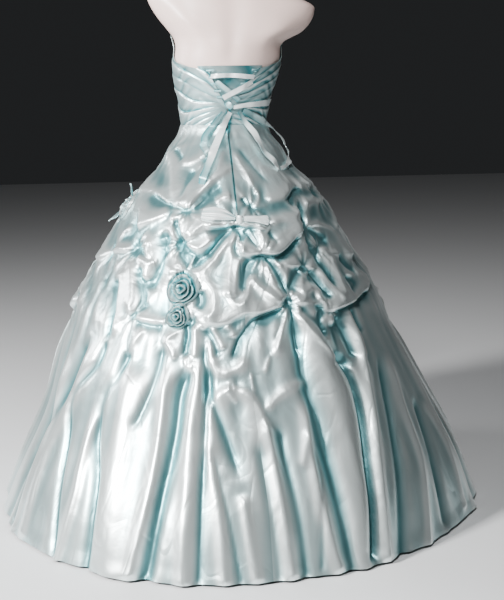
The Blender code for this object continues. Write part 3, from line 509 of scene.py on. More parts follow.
def front_folds():
    """Long folds of the front, ridge and valley by turns."""
    folds = []
    for k in range(FRONT_FOLD_COUNT):
        a = FRONT_FOLD_FROM + FRONT_FOLD_STEP * k + 1.6 * np.sin(2.3 * k)
        size = 15 + 4 * np.sin(1.9 * k)
        folds.append((size if k % 2 else -size, 25, [(a + 2 * np.sin(k), 0.56), (a, 0.30), (a, -0.1)]))
    return folds


def ripples(azimuth, z):
    """Small uneven ripples of loose satin: crossing creases among the pick-ups, upright waves below them."""
    t = np.radians(azimuth)
    u = t * rings_at(z, SKIRT_RINGS)[0]
    loose = smooth_step(0.50, 0.62, z) * (1 - smooth_step(0.90, 1.00, z))
    crossing, swell, upright = np.zeros(z.shape), np.zeros(z.shape), np.zeros(z.shape)
    for number in range(8):
        angle, length = 0.8 * number + 0.3, 0.070 + 0.022 * (number % 4)
        phase = 1.4 * np.sin(6 * t + number) + 1.1 * np.sin(19 * z + 2.2 * number)
        wave = np.sin((u * np.cos(angle) + z * np.sin(angle)) * np.pi / length + phase)
        crossing += 0.6 - np.sqrt(wave ** 2 + 0.02)
    for number in range(4):
        angle, length = 0.9 * number + 0.5, 0.13 + 0.03 * number
        swell += np.sin((u * np.cos(angle) + z * np.sin(angle)) * 2 * np.pi / length + 2 * number)
    for number in range(5):
        sway = 1.8 * np.sin(4.1 * z + 1.9 * number)
        upright += np.sin(azimuth * (0.55 + 0.17 * number) + sway + 2.4 * number)
    low = 1 - 0.85 * smooth_step(0.50, 0.80, z)
    return MM * (0.9 * loose * crossing + 2.4 * loose * swell + 0.45 * low * upright)


def relief(azimuth, z):
    """How far the cloth stands out of the skirt's plain form, and how far its swagged edges hang down."""
    front_tacks, front_swags = front_pickups()
    gathers = np.cos(np.radians(azimuth * 24) + 2 * np.sin(np.radians(azimuth * 5)))
    out = 0.0005 * gathers * smooth_step(0.86, 0.98, z)
    drop = np.zeros(z.shape)
    folds = [(*numbers, on_gown(way, UPPER_VIEW)) for *numbers, way in drawn_folds(UPPER_FOLDS)]
    folds += [(sharp + 0.2, 1.05 * height, 1.35 * right, 1.35 * left, on_gown(way, LOWER_VIEW))
              for sharp, height, right, left, way in drawn_folds(LOWER_FOLDS)]
    for sharp, height, above, below, path in folds + front_swags:
        gap, share, near = beside(azimuth, z, path, max(0.06, 0.0035 * max(above, below)))
        swag = height > 12 and above > 1.5 * below
        reach = np.where(gap > 0, above, below * (1.35 if swag else 1.0)) * MM
        fade = smooth_step(0, 0.16, share)
        if path[-1][1] > 0.05:
            fade = fade * smooth_step(0, 0.16, 1 - share)
        form = np.exp(-(((gap / reach) ** 2 + 0.01) ** (sharp / 2)))
        out[near] += MM * height * fade * form
        if swag:
            hang = np.exp(-((gap + 0.3 * below * MM) / (1.3 * below * MM)) ** 2)
            drop[near] += MM * 0.32 * height * fade * hang
    tacks = [(*on_gown([place], UPPER_VIEW)[0], *more) for place, *more in TACKS] + front_tacks
    for a, height, depth, radius, number, size in tacks:
        across = turn_between(azimuth, a) * np.radians(rings_at(z, SKIRT_RINGS)[0])
        up = z - height
        away = np.hypot(across, up)
        out -= MM * depth * np.exp(-(away / (radius * MM)) ** 2)
        heading = np.arctan2(up, across)
        fan = 0.6 - np.abs(np.sin(number * heading / 2 + 0.8 * np.sin(heading * 2 + a) + a))
        out += MM * size * fan * (away / 0.022) * np.exp(1 - away / 0.022)
    for size, reach, path in LONG_FOLDS + front_folds():
        gap, share, near = beside(azimuth, z, path, 0.16)
        spread = reach * MM * (0.75 + 0.5 * share)
        calm = 0.65 + 0.35 * smooth_step(0.0, 0.25, z[near])
        out[near] += MM * size * calm * smooth_step(0, 0.3, share) * np.exp(-(np.abs(gap) / spread) ** 1.8)
    for size, reach, path in CREASES:
        gap, share, near = beside(azimuth, z, path, 0.05)
        fade = smooth_step(0, 0.2, share) * smooth_step(0, 0.3, 1 - share)
        out[near] += MM * size * fade * np.exp(-(np.abs(gap) / (reach * MM)) ** 1.4)
    out += ripples(azimuth, z)
    out += swept(azimuth, z)
    calm = 1 - smooth_step(1.00, 1.050, z)
    gathers = np.cos(azimuth * 0.5 + 1.5 * np.sin(azimuth * 0.13)) + np.cos(azimuth * 0.31)
    gathers = gathers * np.exp(-((z - 1.02) / 0.03) ** 2)
    return out * calm + 0.0006 * gathers * (1 - smooth_step(1.040, 1.055, z)), drop * calm


def skirt_points(azimuth, z):
    width, depth = rings_at(z, SKIRT_RINGS)
    stand, drop = relief(azimuth, z)
    t = np.radians(azimuth)
    lean = skirt_lean(z)
    hem = 0.007 * (1 - smooth_step(0, 0.05, z))
    x, y = (width + stand) * np.sin(t) + lean, -(depth + stand) * np.cos(t)
    return np.stack([x, y, z - drop + hem], axis=-1), stand


def pleats(azimuth, z):
    """Ruching of the bodice: uneven overlapping pleats that draw together towards the foot of the laced
    opening, and run level round the front."""
    side = np.abs(turn_between(azimuth, 0))
    u = np.radians(np.minimum(side, 96)) * 0.135
    right = np.clip(2.4 * np.sin(np.radians(azimuth)), -1, 1)
    rise = np.arctan2(z - KNOT_Z, u + 0.065 - 0.015 * right)
    wander = 0.22 * np.sin(5 * rise + 0.03 * side) + 0.16 * np.sin(0.045 * side + 9 * rise)
    phase = rise * (8.5 + right) + 1.5 * wander
    lap = phase - np.floor(phase)
    fold = lap * (1 - smooth_step(0.80, 1.0, lap))
    uneven = 0.25 + 0.75 * np.sin(2.3 * np.floor(phase) + 1.0) ** 2
    crinkle = 0.3 - np.abs(np.sin(23 * rise + 0.06 * side + 2 * np.sin(0.11 * side)))
    crease = crinkle * np.sin(0.05 * side + 6 * rise)
    near = np.hypot(u, z - KNOT_Z)
    return (0.0042 * uneven * fold + (0.0013 + 0.0004 * right) * crease) * smooth_step(0.012, 0.09, near)


def body_lean(z):
    """How far the axis of the body stands to the right of the pole."""
    return BODY_LEAN * smooth_step(1.08, 1.42, z)


def body_points(azimuth, z, out, bust=0.024):
    """The dress form's surface moved out; the form tilts a little at the shoulders."""
    width, depth = rings_at(z, BODY_RINGS)
    side = np.abs(turn_between(azimuth, 0))
    fullness = bust * np.exp(-((side - 150) / 22) ** 2 - ((z - 1.222) / 0.055) ** 2)
    blades = 0.009 * np.exp(-((side - 38) / 16) ** 2 - ((z - 1.315) / 0.04) ** 2)
    furrow = 0.006 * np.exp(-(side / 9) ** 2) * smooth_step(1.20, 1.26, z) * (1 - smooth_step(1.38, 1.42, z))
    stand = fullness + blades - furrow + out
    t = np.radians(azimuth)
    x = (width + stand) * np.sin(t)
    tilt = SHOULDER_TILT * x * smooth_step(1.25, 1.34, z) * (1 - smooth_step(1.45, 1.52, z))
    return np.stack([x + body_lean(z), -(depth + stand) * np.cos(t), z + tilt], axis=-1)


def blurred(values, reach):
    """A grid of values smoothed by running means along both ways, twice over."""
    for axis in (0, 1, 0, 1):
        pad = [(reach + 1, reach) if k == axis else (0, 0) for k in (0, 1)]
        total = np.cumsum(np.pad(values, pad, mode="edge"), axis=axis)
        places = np.arange(values.shape[axis])
        ends = [np.take(total, places + shift, axis=axis) for shift in (0, 2 * reach + 1)]
        values = (ends[1] - ends[0]) / (2 * reach + 1)
    return values


def hollows(stand, z):
    """How open each place of the skirt lies: 0 deep in a fold, about 0.4 on the level, 1 on a crest; the
    satin's shader turns this into painted shade in the hollows and a painted highlight on the crests.
    """
    near, wide = stand - blurred(stand, 5), stand - blurred(stand, 14)
    open_by = near / 0.014 + wide / 0.028
    # The painted shade of the hollows is kept lighter low on the skirt than among the pick-ups
    open_by = np.where(open_by < 0, open_by * (0.40 + 0.50 * smooth_step(0.42, 0.62, z)), open_by)
    return np.clip(0.40 + open_by, 0.0, 1.0)


def nothing_selected():
    if bpy.context.object and bpy.context.object.mode != "OBJECT":
        bpy.ops.object.mode_set(mode="OBJECT")
    bpy.ops.object.select_all(action="DESELECT")


def choose(piece):
    nothing_selected()
    piece.select_set(True)
    bpy.context.view_layer.objects.active = piece


def close_ring(piece, weld, filled=False):
    """Joins the two ends of a ring, fills its holes where asked, and turns its faces out."""
    choose(piece)
    bpy.ops.object.mode_set(mode="EDIT")
    bpy.ops.mesh.select_all(action="SELECT")
    bpy.ops.mesh.remove_doubles(threshold=weld)
    if filled:
        bpy.ops.mesh.select_all(action="DESELECT")
        bpy.ops.mesh.select_non_manifold()
        bpy.ops.mesh.fill_holes(sides=0)
        bpy.ops.mesh.select_all(action="SELECT")
    bpy.ops.mesh.normals_make_consistent(inside=False)
    bpy.ops.object.mode_set(mode="OBJECT")


def grid_piece(name, columns, rows):
    """A fresh grid, its columns and rows as shares from 0 to 1 of each vertex."""
    nothing_selected()
    bpy.ops.mesh.primitive_grid_add(x_subdivisions=columns, y_subdivisions=rows, size=1.0)
    piece = bpy.context.object
    piece.name = piece.data.name = name
    place = np.empty(len(piece.data.vertices) * 3)
    piece.data.vertices.foreach_get("co", place)
    place = place.reshape(rows + 1, columns + 1, 3)
    return piece, place[:, :, 0] + 0.5, place[:, :, 1] + 0.5


def finish_sheet(piece, points, wall, offset=-1.0, fold=None):
    """Puts a grid's vertices in place, keeps its tones of painted shade and highlight for the shader, and gives
    it its thickness.
    """
    mesh = piece.data
    mesh.vertices.foreach_set("co", points.reshape(-1, 3).ravel())
    depth = mesh.attributes.new("fold", "FLOAT", "POINT")
    depth.data.foreach_set("value", np.zeros(len(mesh.vertices)) if fold is None else fold.ravel())
    mesh.update()
    mesh.shade_smooth()
    if wall:
        solid = piece.modifiers.new("wall", "SOLIDIFY")
        solid.thickness = wall
        solid.offset = offset
        choose(piece)
        bpy.ops.object.modifier_apply(modifier="wall")
        bpy.ops.object.shade_smooth_by_angle(angle=np.radians(80))


def mat_with(name, colour, roughness, metallic=0.0, **sockets):
    mat = bpy.data.materials.new(name)
    mat.use_nodes = True
    shader = mat.node_tree.nodes["Principled BSDF"]
    shader.inputs["Base Color"].default_value = (*colour, 1.0)
    shader.inputs["Roughness"].default_value = roughness
    shader.inputs["Metallic"].default_value = metallic
    for socket, value in sockets.items():
        shader.inputs[socket.replace("_", " ")].default_value = value
    return mat, mat.node_tree, shader


def node_at(tree, kind, operation=None, **inputs):
    node = tree.nodes.new(kind)
    if operation:
        node.operation = operation
    for socket, value in inputs.items():
        node.inputs[socket.replace("_", " ")].default_value = value
    return node


def wire(tree, *wires):
    """Links sockets: each wire names a node, its output, the next node and its input."""
    for node, output, into, socket in wires:
        tree.links.new(node.outputs[output], into.inputs[socket])


def satin_material(name, light, mid, deep, roughness=0.33, metallic=0.80):
    """Milky aqua satin coloured by the fold attribute: painted teal shade in the hollows, painted half-shade on
    the slopes and a painted highlight on the crests; with a fine weave and soft crinkles.
    """
    mat, tree, shader = mat_with(name, light, roughness, metallic, Anisotropic=0.3, Sheen_Weight=0.15,
                                 Sheen_Roughness=0.4, Specular_IOR_Level=0.7)
    # The fold attribute carries the tones of painted shade and highlight
    depth = node_at(tree, "ShaderNodeAttribute")
    depth.attribute_name = "fold"
    place = node_at(tree, "ShaderNodeTexCoord")
    height = node_at(tree, "ShaderNodeSeparateXYZ")
    patches = node_at(tree, "ShaderNodeTexNoise", Scale=6.0, Detail=3.0)
    shift = node_at(tree, "ShaderNodeMath", "MULTIPLY_ADD")
    shift.inputs[1].default_value = 0.22
    # Colour ramp of painted light: the deep colour is painted shade in the hollows, the mid colour painted
    # half-shade, the light colour a painted highlight on the crests
    ramp = node_at(tree, "ShaderNodeValToRGB")
    ramp.color_ramp.interpolation = "B_SPLINE"
    stops = ramp.color_ramp.elements
    stops[0].position, stops[0].color = 0.05, (*deep, 1)
    stops[1].position, stops[1].color = 0.72, (*light, 1)
    stops.new(0.38).color = (*mid, 1)
    uneven = node_at(tree, "ShaderNodeMapRange", To_Min=roughness - 0.05, To_Max=roughness + 0.08)
    # Waves that hang upright, strongest low down
    hanging = node_at(tree, "ShaderNodeMapping", Scale=(1.0, 1.0, 0.20))
    drape = node_at(tree, "ShaderNodeTexNoise", Scale=17.0, Detail=2.0, Roughness=0.4, Distortion=0.5)
    low = node_at(tree, "ShaderNodeMapRange", From_Min=0.62, From_Max=0.95, To_Min=0.32, To_Max=0.10)
    long = node_at(tree, "ShaderNodeBump", Distance=0.012)
    # Soft crinkles, strongest among the pick-ups
    crinkle = node_at(tree, "ShaderNodeTexNoise", Scale=13.0, Detail=3.0, Roughness=0.42, Distortion=1.4)
    picked = node_at(tree, "ShaderNodeMapRange", From_Min=0.42, From_Max=0.62, To_Min=0.06, To_Max=0.34)
    soft = node_at(tree, "ShaderNodeBump", Distance=0.010)
    # Thin creases that run lengthwise
    lengthwise = node_at(tree, "ShaderNodeMapping", Scale=(1.0, 1.0, 0.40))
    line = node_at(tree, "ShaderNodeTexNoise", Scale=8.0, Detail=1.0, Roughness=0.3, Distortion=0.9)
    middle_line = node_at(tree, "ShaderNodeMath", "PINGPONG")
    middle_line.inputs[1].default_value = 0.25
    crease = node_at(tree, "ShaderNodeMapRange", From_Min=0.0, From_Max=0.045)
    thin = node_at(tree, "ShaderNodeBump", Strength=0.35, Distance=0.0012)
    weave = node_at(tree, "ShaderNodeTexNoise", Scale=1400.0, Detail=1.0)
    fine = node_at(tree, "ShaderNodeBump", Strength=0.08, Distance=0.0004)
    wire(tree, (place, "Object", patches, "Vector"), (patches, "Fac", shift, 0), (depth, "Fac", shift, 2),
         (shift, 0, ramp, "Fac"), (ramp, "Color", shader, "Base Color"),
         (patches, "Fac", uneven, "Value"), (uneven, "Result", shader, "Roughness"),
         (place, "Object", height, "Vector"), (height, "Z", low, "Value"), (height, "Z", picked, "Value"),
         (place, "Object", hanging, "Vector"), (hanging, "Vector", drape, "Vector"),
         (low, "Result", long, "Strength"), (drape, "Fac", long, "Height"),
         (place, "Object", crinkle, "Vector"), (picked, "Result", soft, "Strength"),
         (crinkle, "Fac", soft, "Height"), (long, "Normal", soft, "Normal"),
         (place, "Object", lengthwise, "Vector"), (lengthwise, "Vector", line, "Vector"),
         (line, "Fac", middle_line, 0), (middle_line, 0, crease, "Value"),
         (crease, "Result", thin, "Height"), (soft, "Normal", thin, "Normal"),
         (place, "Object", weave, "Vector"), (weave, "Fac", fine, "Height"),
         (thin, "Normal", fine, "Normal"), (fine, "Normal", shader, "Normal"))
    return mat


def form_material(name, colour):
    """Glossy shell of the dress form, a little mottled."""
    mat, tree, shader = mat_with(name, colour, 0.42, 0.0, Coat_Weight=0.15, Coat_Roughness=0.22)
    place = node_at(tree, "ShaderNodeTexCoord")
    blotch = node_at(tree, "ShaderNodeTexNoise", Scale=9.0, Detail=3.0)
    ramp = node_at(tree, "ShaderNodeValToRGB")
    for stop, tone in zip(ramp.color_ramp.elements, (0.94, 1.05)):
        stop.color = (*[min(1, tone * c) for c in colour], 1)
    wire(tree, (place, "Object", blotch, "Vector"), (blotch, "Fac", ramp, "Fac"),
         (ramp, "Color", shader, "Base Color"))
    return mat


def metal_material(name, colour):
    """Brushed steel of the pole and base."""
    mat, tree, shader = mat_with(name, colour, 0.32, 1.0)
    place = node_at(tree, "ShaderNodeTexCoord")
    streak = node_at(tree, "ShaderNodeTexNoise", Scale=60.0, Detail=4.0)
    spread = node_at(tree, "ShaderNodeMapRange", To_Min=0.24, To_Max=0.42)
    wire(tree, (place, "Object", streak, "Vector"), (streak, "Fac", spread, "Value"),
         (spread, "Result", shader, "Roughness"))
    return mat


def satin():
    colours = bpy.context.scene.gown_colours
    return bpy.data.materials.get("aqua_satin") or satin_material(
        "aqua_satin", colours.satin, colours.satin_painted_half_shade, colours.satin_painted_shade)


def ribbon():
    colours = bpy.context.scene.gown_colours
    # The ribbon is painted with the satin's half-shade and shade in its hollows and its own colour as a
    # highlight
    return bpy.data.materials.get("ribbon_satin") or satin_material(
        "ribbon_satin", colours.ribbon, colours.satin_painted_half_shade, colours.satin_painted_shade, 0.32, 0.30)


def dress(piece, mat, slot, *nodes):
    """Gives a finished piece its material, its body and the solids that it stands for."""
    piece.data.materials.clear()
    piece.data.materials.append(mat)
    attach(piece, "root")
    if nodes:
        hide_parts(*nodes)


def draped_over(high, share):
    """The reach of a ribbon that is flat across, bends along its length and clears the cloth under it."""
    slope = (high * share).sum(axis=1) / (share ** 2).sum()
    level = (high - slope[:, None] * share).max(axis=1)
    for reach in (1, 2, 4):
        spread = np.pad(level, reach, mode="edge")
        level = np.max([spread[k:k + len(level)] for k in range(2 * reach + 1)], axis=0)
    kernel = np.hanning(11)[1:-1] / np.hanning(11).sum()
    smooth = [np.convolve(np.pad(line, 4, mode="edge"), kernel, "valid") for line in (level, slope)]
    plane = smooth[0][:, None] + smooth[1][:, None] * share
    short = (high - plane).max(axis=1)
    return plane + np.maximum(short, 0)[:, None]


class Surface:
    """The outside of the finished gown, which trims are laid on."""

    OUTSIDE = 1.2

    def __init__(self):
        self.trees = []

    def add(self, piece):
        corners = [vertex.co.copy() for vertex in piece.data.vertices]
        faces = [tuple(face.vertices) for face in piece.data.polygons]
        self.trees.append(BVHTree.FromPolygons(corners, faces))

    def reach(self, azimuth, z):
        t = np.radians(azimuth)
        outward = Vector((np.sin(t), -np.cos(t), 0.0))
        start = outward * self.OUTSIDE + Vector((body_lean(z), 0, z))
        hits = [tree.ray_cast(start, -outward, self.OUTSIDE) for tree in self.trees]
        return max([self.OUTSIDE - hit[3] for hit in hits if hit[0] is not None], default=0.0)

    def scales(self, azimuth, z, spread=0.012):
        """Metres of cloth to a degree round and to a metre up, at each place."""
        radius = np.array([self.reach(a, h) for a, h in zip(azimuth, z)])
        slope = np.array([self.reach(a, h + spread) - self.reach(a, h - spread) for a, h in zip(azimuth, z)])
        return np.radians(radius), np.hypot(1, np.clip(slope / (2 * spread), -1.2, 1.2))


GOWN = Surface()
CLOTHS = {"satin": satin, "ribbon": ribbon}


def laid_strip(name, widths, path, slot="ribbon", wall=None, crown=0.0, spacing=0.004, across=7, waves=0.0,
               cut=1.0, painted_tones=(0.55, 0.55), folds=0.0, lift=0.0):
    """A strip of ribbon lying on the gown along a path; it bridges the hollows that it passes over."""
    sizes = bpy.context.scene.gown_sizes
    wall = wall or sizes.ribbon_wall
    way = smooth_path(path, 12)
    around, climb = GOWN.scales(way[:, 0], way[:, 1])
    run = np.hypot(np.diff(way[:, 0]) * around[1:], np.diff(way[:, 1]) * climb[1:])
    length = np.concatenate([[0], np.cumsum(run)])
    steps = max(6, int(round(length[-1] / spacing)))
    at = np.linspace(0, length[-1], steps + 1)
    middle = np.column_stack([np.interp(at, length, way[:, k]) for k in (0, 1)])
    around, climb = GOWN.scales(middle[:, 0], middle[:, 1])
    heading = np.gradient(middle, axis=0) * np.column_stack([around, climb])
    heading /= np.linalg.norm(heading, axis=1)[:, None]
    wide = np.interp(at / at[-1], np.linspace(0, 1, len(widths)), widths)
    share = np.linspace(-0.5, 0.5, across + 1)
    azimuth = middle[:, :1] - (heading[:, 1] * wide / around)[:, None] * share
    z = middle[:, 1:] + (heading[:, 0] * wide / climb)[:, None] * share
    high = np.array([[GOWN.reach(a, h) for a, h in zip(row_a, row_z)] for row_a, row_z in zip(azimuth, z)])
    envelope = draped_over(high, share)
    curl = waves * np.sin(at * 62 + len(name))[:, None]
    bulge = crown * (1 - (2 * share) ** 2) + curl * share + np.abs(curl) / 2
    gathers = np.cos(share * 15 + 0.8 * np.sin(at * 30)[:, None])
    bulge = bulge + folds * (1 + gathers) / 2
    r = envelope + sizes.lay_gap + bulge + lift * (at / at[-1])[:, None] ** 1.4
    t = np.radians(azimuth)
    points = np.stack([r * np.sin(t) + body_lean(z), -r * np.cos(t), z], axis=-1)
    piece, _, _ = grid_piece(name + "_satin", across, steps)
    cross = np.cross(points[1, 0] - points[0, 0], points[0, 1] - points[0, 0])
    if cross @ np.array([*points[0, 0][:2], 0]) > 0:
        points = points[:, ::-1]
    # Painted light along the strip: the listed tones, painted shade towards both edges and more on one side,
    # and a painted highlight and shade on the crests and hollows of its gathers
    tone = np.interp(at / at[-1], np.linspace(0, 1, len(painted_tones)), painted_tones)[:, None]
    tone = tone - 0.18 * np.abs(2 * share) ** 3 - 0.2 * share + 60 * folds * gathers
    finish_sheet(piece, points, wall, 1.0, fold=tone)
    dress(piece, CLOTHS[slot](), slot, name)
    if cut:
        middle = points[:, across // 2]
        run = float(np.linalg.norm(np.diff(middle, axis=0), axis=1).sum()) * cut
        max(widths)
        0.999 * float(np.mean(widths)) * run
    GOWN.add(piece)


class GOWN_OT_stage(bpy.types.Operator):
    """Sets up the camera, the soft studio light and the pale floor"""
    bl_idname = "gown.stage"
    bl_label = "Camera, Light and Floor"

    def execute(self, context):
        camera = bpy.data.objects.new("camera", bpy.data.cameras.new("camera"))
        context.scene.collection.objects.link(camera)
        camera.data.sensor_width = SENSOR
        camera.data.lens = FOCAL_PIXELS * SENSOR / PHOTO_HEIGHT
        camera.matrix_world = camera_place()
        context.scene.camera = camera
        for name, place, size, power, colour in LIGHTS:
            lamp = bpy.data.lights.new(name, "AREA")
            lamp.energy, lamp.size, lamp.color = power, size, colour
            item = bpy.data.objects.new(name, lamp)
            item.location = place
            aim = Vector((0, 0, LIT_HEIGHT)) - Vector(place)
            item.rotation_euler = aim.to_track_quat("-Z", "Y").to_euler()
            context.scene.collection.objects.link(item)
        world = bpy.data.worlds.new("studio")
        world.use_nodes = True
        sky = world.node_tree.nodes["Background"].inputs
        sky["Color"].default_value, sky["Strength"].default_value = (0.60, 0.63, 0.66, 1), 0.03
        context.scene.world = world
        nothing_selected()
        bpy.ops.mesh.primitive_plane_add(size=24, location=(0, 0, 0))
        floor = context.object
        floor.name = "floor"
        floor.data.materials.append(mat_with("floor_paint", context.scene.gown_colours.floor, 0.7)[0])
        floor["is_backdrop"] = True
        return {"FINISHED"}


class GOWN_OT_form(bpy.types.Operator):
    """Models the dress form's torso and finishes its pole and base"""
    bl_idname = "gown.form"
    bl_label = "Dress Form"

    def execute(self, context):
        piece, u, v = grid_piece("form_torso_shell", 144, 200)
        heights = np.array([row[0] for row in BODY_RINGS])
        z = np.interp(v, np.linspace(0, 1, len(heights)), heights)
        inset = -0.0039 * (1 - smooth_step(1.33, 1.39, z))
        points = body_points(u * 360, z, inset, 0.020)
        finish_sheet(piece, points, 0)
        close_ring(piece, 0.00002, filled=True)
        bpy.ops.object.shade_smooth_by_angle(angle=np.radians(50))
        dress(piece, form_material("form_gloss", context.scene.gown_colours.form), "form_shell", "form_torso")
        GOWN.add(piece)
        steel = metal_material("stand_steel", (0.75, 0.75, 0.76))
        for node in ("form_pole", "form_base"):
            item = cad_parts[node]
            item.data.materials.clear()
            item.data.materials.append(steel)
        return {"FINISHED"}


def laced_edge(z, side):
    heights, left, right = zip(*LACED_EDGES)
    return np.interp(z, heights, left if side < 0 else right)


def bodice_panel(name, start, end, columns, rows):
    piece, u, v = grid_piece(name + "_cloth", columns, rows)
    low = WAIST_Z + 0.0003
    middle = low + v * 0.16
    azimuth = start(middle) + (end(middle) - start(middle)) * u
    top = curve_through(np.abs(turn_between(azimuth, 0)), *zip(*NECKLINE))
    z = low + (top - low) * v
    azimuth = start(z) + (end(z) - start(z)) * u
    out = pleats(azimuth, z)
    right = turn_between(azimuth, 0) > 0
    # Painted light: the right back is painted darker than the left as shade, the pleats get a painted highlight
    # on their crests and painted shade in their hollows, and a painted shadow falls under the knot
    shadow_under_knot = np.exp(-(turn_between(azimuth, 1) / 3.5) ** 2 - ((z - 1.080) / 0.022) ** 2)
    fold = np.where(right, 0.22, 0.27) + (out - blurred(out, 5)) / 0.0032 - 0.9 * shadow_under_knot
    finish_sheet(piece, body_points(azimuth, z, out), 0.0015, fold=fold)
    dress(piece, satin(), "satin", name)
    GOWN.add(piece)


class GOWN_OT_bodice(bpy.types.Operator):
    """Models the ruched bodice and the modesty panel behind its lacing"""
    bl_idname = "gown.bodice"
    bl_label = "Bodice"

    def execute(self, context):
        slit = np.degrees(HALF_SEAM / BODY_RADIUS)
        bodice_panel("bodice_back_left", lambda z: -SIDE_SEAM + slit + 0 * z, lambda z: laced_edge(z, -1),
                     90, 110)
        bodice_panel("bodice_back_right", lambda z: laced_edge(z, 1), lambda z: SIDE_SEAM - slit + 0 * z,
                     90, 110)
        bodice_panel("bodice_front", lambda z: SIDE_SEAM + slit + 0 * z,
                     lambda z: 360 - SIDE_SEAM - slit + 0 * z, 160, 120)
        piece, u, v = grid_piece("modesty_cloth", 60, 40)
        z = 1.108 + 0.109 * v
        azimuth = curve_through(z, *zip(*MODESTY_SPREAD)) * (2 * u - 1)
        wave = np.sin(5 * u + 9 * v + 1.5 * np.sin(7 * u)) * np.sin(3 * v + 6 * u)
        # Painted shade: the panel behind the lacing is given dark tones, lighter on the crests of its ripples
        finish_sheet(piece, body_points(azimuth, z, -0.0020 + 0.0006 * wave), 0.001, fold=0.12 + 0.22 * wave)
        dress(piece, satin(), "satin", "modesty_panel")
        GOWN.add(piece)
        return {"FINISHED"}


class GOWN_OT_skirt(bpy.types.Operator):
    """Models the picked-up skirt in its three panels"""
    bl_idname = "gown.skirt"
    bl_label = "Skirt"

    def execute(self, context):
        sizes = context.scene.gown_sizes
        for name, start, end, cut in SKIRT_PANELS:
            piece, u, v = grid_piece(name + "_cloth", sizes.skirt_columns, sizes.skirt_rows)
            z = np.interp(v, [0, 0.34, 1], [0, 0.50, WAIST_Z])
            opening = 0.0001 + 0.0006 * smooth_step(0.83, 0.87, z)
            slit = np.degrees(opening / rings_at(z, SKIRT_RINGS)[1])
            azimuth = start + slit + (end - start - 2 * slit) * u
            points, stand = skirt_points(azimuth, z)
            # Painted shade in the hollows of the folds and a painted highlight on their crests
            fold = hollows(stand, z)
            # Painted shade along the centre-back opening, widening towards the waist
            seam = turn_between(azimuth, 0) * 0.0175 * rings_at(z, SKIRT_RINGS)[0]
            seam_shade_width = 0.0022 + 0.006 * smooth_step(1.03, 1.055, z)
            fold = fold - 0.9 * np.exp(-(seam / seam_shade_width) ** 2) * smooth_step(0.83, 0.87, z)
            finish_sheet(piece, points, sizes.satin_wall, fold=fold)
            dress(piece, satin(), "satin", name)
            GOWN.add(piece)
        return {"FINISHED"}


class GOWN_OT_lacing(bpy.types.Operator):
    """Lays the lacing loops, the ribbon, its knot, loops and tails"""
    bl_idname = "gown.lacing"
    bl_label = "Lacing"

    def execute(self, context):
        for side, word in ((-1, "left"), (1, "right")):
            for number, z in enumerate(LACING_LOOP_HEIGHTS, 1):
                edge = float(laced_edge(z, side))
                inner, outer = edge - side * 1.5, edge + side * np.degrees(LACING_LOOP_LENGTH / BODY_RADIUS)
                # The loops are given dark tones as painted shade
                laid_strip(f"lacing_loop_{word}_{number}", [0.005, 0.004, 0.005], [(inner, z), (outer, z)],
                           wall=0.0012, crown=0.001, spacing=0.002, cut=0, painted_tones=(0.15, 0.0))
        for name, widths, painted_tones, way in RIBBONS:
            above_waist = "bar" in name or "crossing" in name or "short" in name
            lies_on = "modesty_cloth" if "bar" in name or "crossing" in name else \
                "bodice_back_right_cloth" if "short" in name else \
                "skirt_back_right_cloth" if "right" in name else "skirt_back_left_cloth"
            laid_strip(name, widths, on_gown(way, LACED_VIEW, polar=True),
                       waves=0.002 if above_waist else 0.006, painted_tones=painted_tones)
        # The knot is given dark tones, painted shade at its ends
        laid_strip("lacing_knot", [0.011, 0.016, 0.011], [(-3.5, 1.120), (1, KNOT_Z), (5.5, 1.105)],
                   wall=0.0014, crown=0.0012, spacing=0.002, cut=1.8, painted_tones=(0.0, 0.30, 0.0))
        return {"FINISHED"}


class GOWN_OT_bow(bpy.types.Operator):
    """Lays the flat bow on the centre-back seam"""
    bl_idname = "gown.bow"
    bl_label = "Bow"

    def execute(self, context):
        for name, widths, painted_tones, way in BOW_LOOPS:
            laid_strip(name, widths, on_gown(way, UPPER_VIEW, polar=True), wall=0.0016, crown=0.008,
                       across=22, cut=1.5, folds=0.004, painted_tones=painted_tones)
        name, widths, painted_tones, way = BOW_BAND
        laid_strip(name, widths, on_gown(way, UPPER_VIEW, polar=True), wall=0.002, crown=0.004,
                   spacing=0.002, cut=1.8, painted_tones=painted_tones)
        return {"FINISHED"}


class GOWN_OT_roses(bpy.types.Operator):
    """Models the rolled satin roses and the leaves of the side flower"""
    bl_idname = "gown.roses"
    bl_label = "Roses"

    def execute(self, context):
        for name, widths, path in LEAVES:
            # The leaves are given painted shade, lightening towards their tips
            laid_strip(name, widths, path, "satin", wall=0.0012, crown=0.003, spacing=0.002, cut=1.6,
                       painted_tones=(0.05, 0.45), lift=0.026)
        for numbers in ROSETTES:
            rose(*numbers)
        return {"FINISHED"}


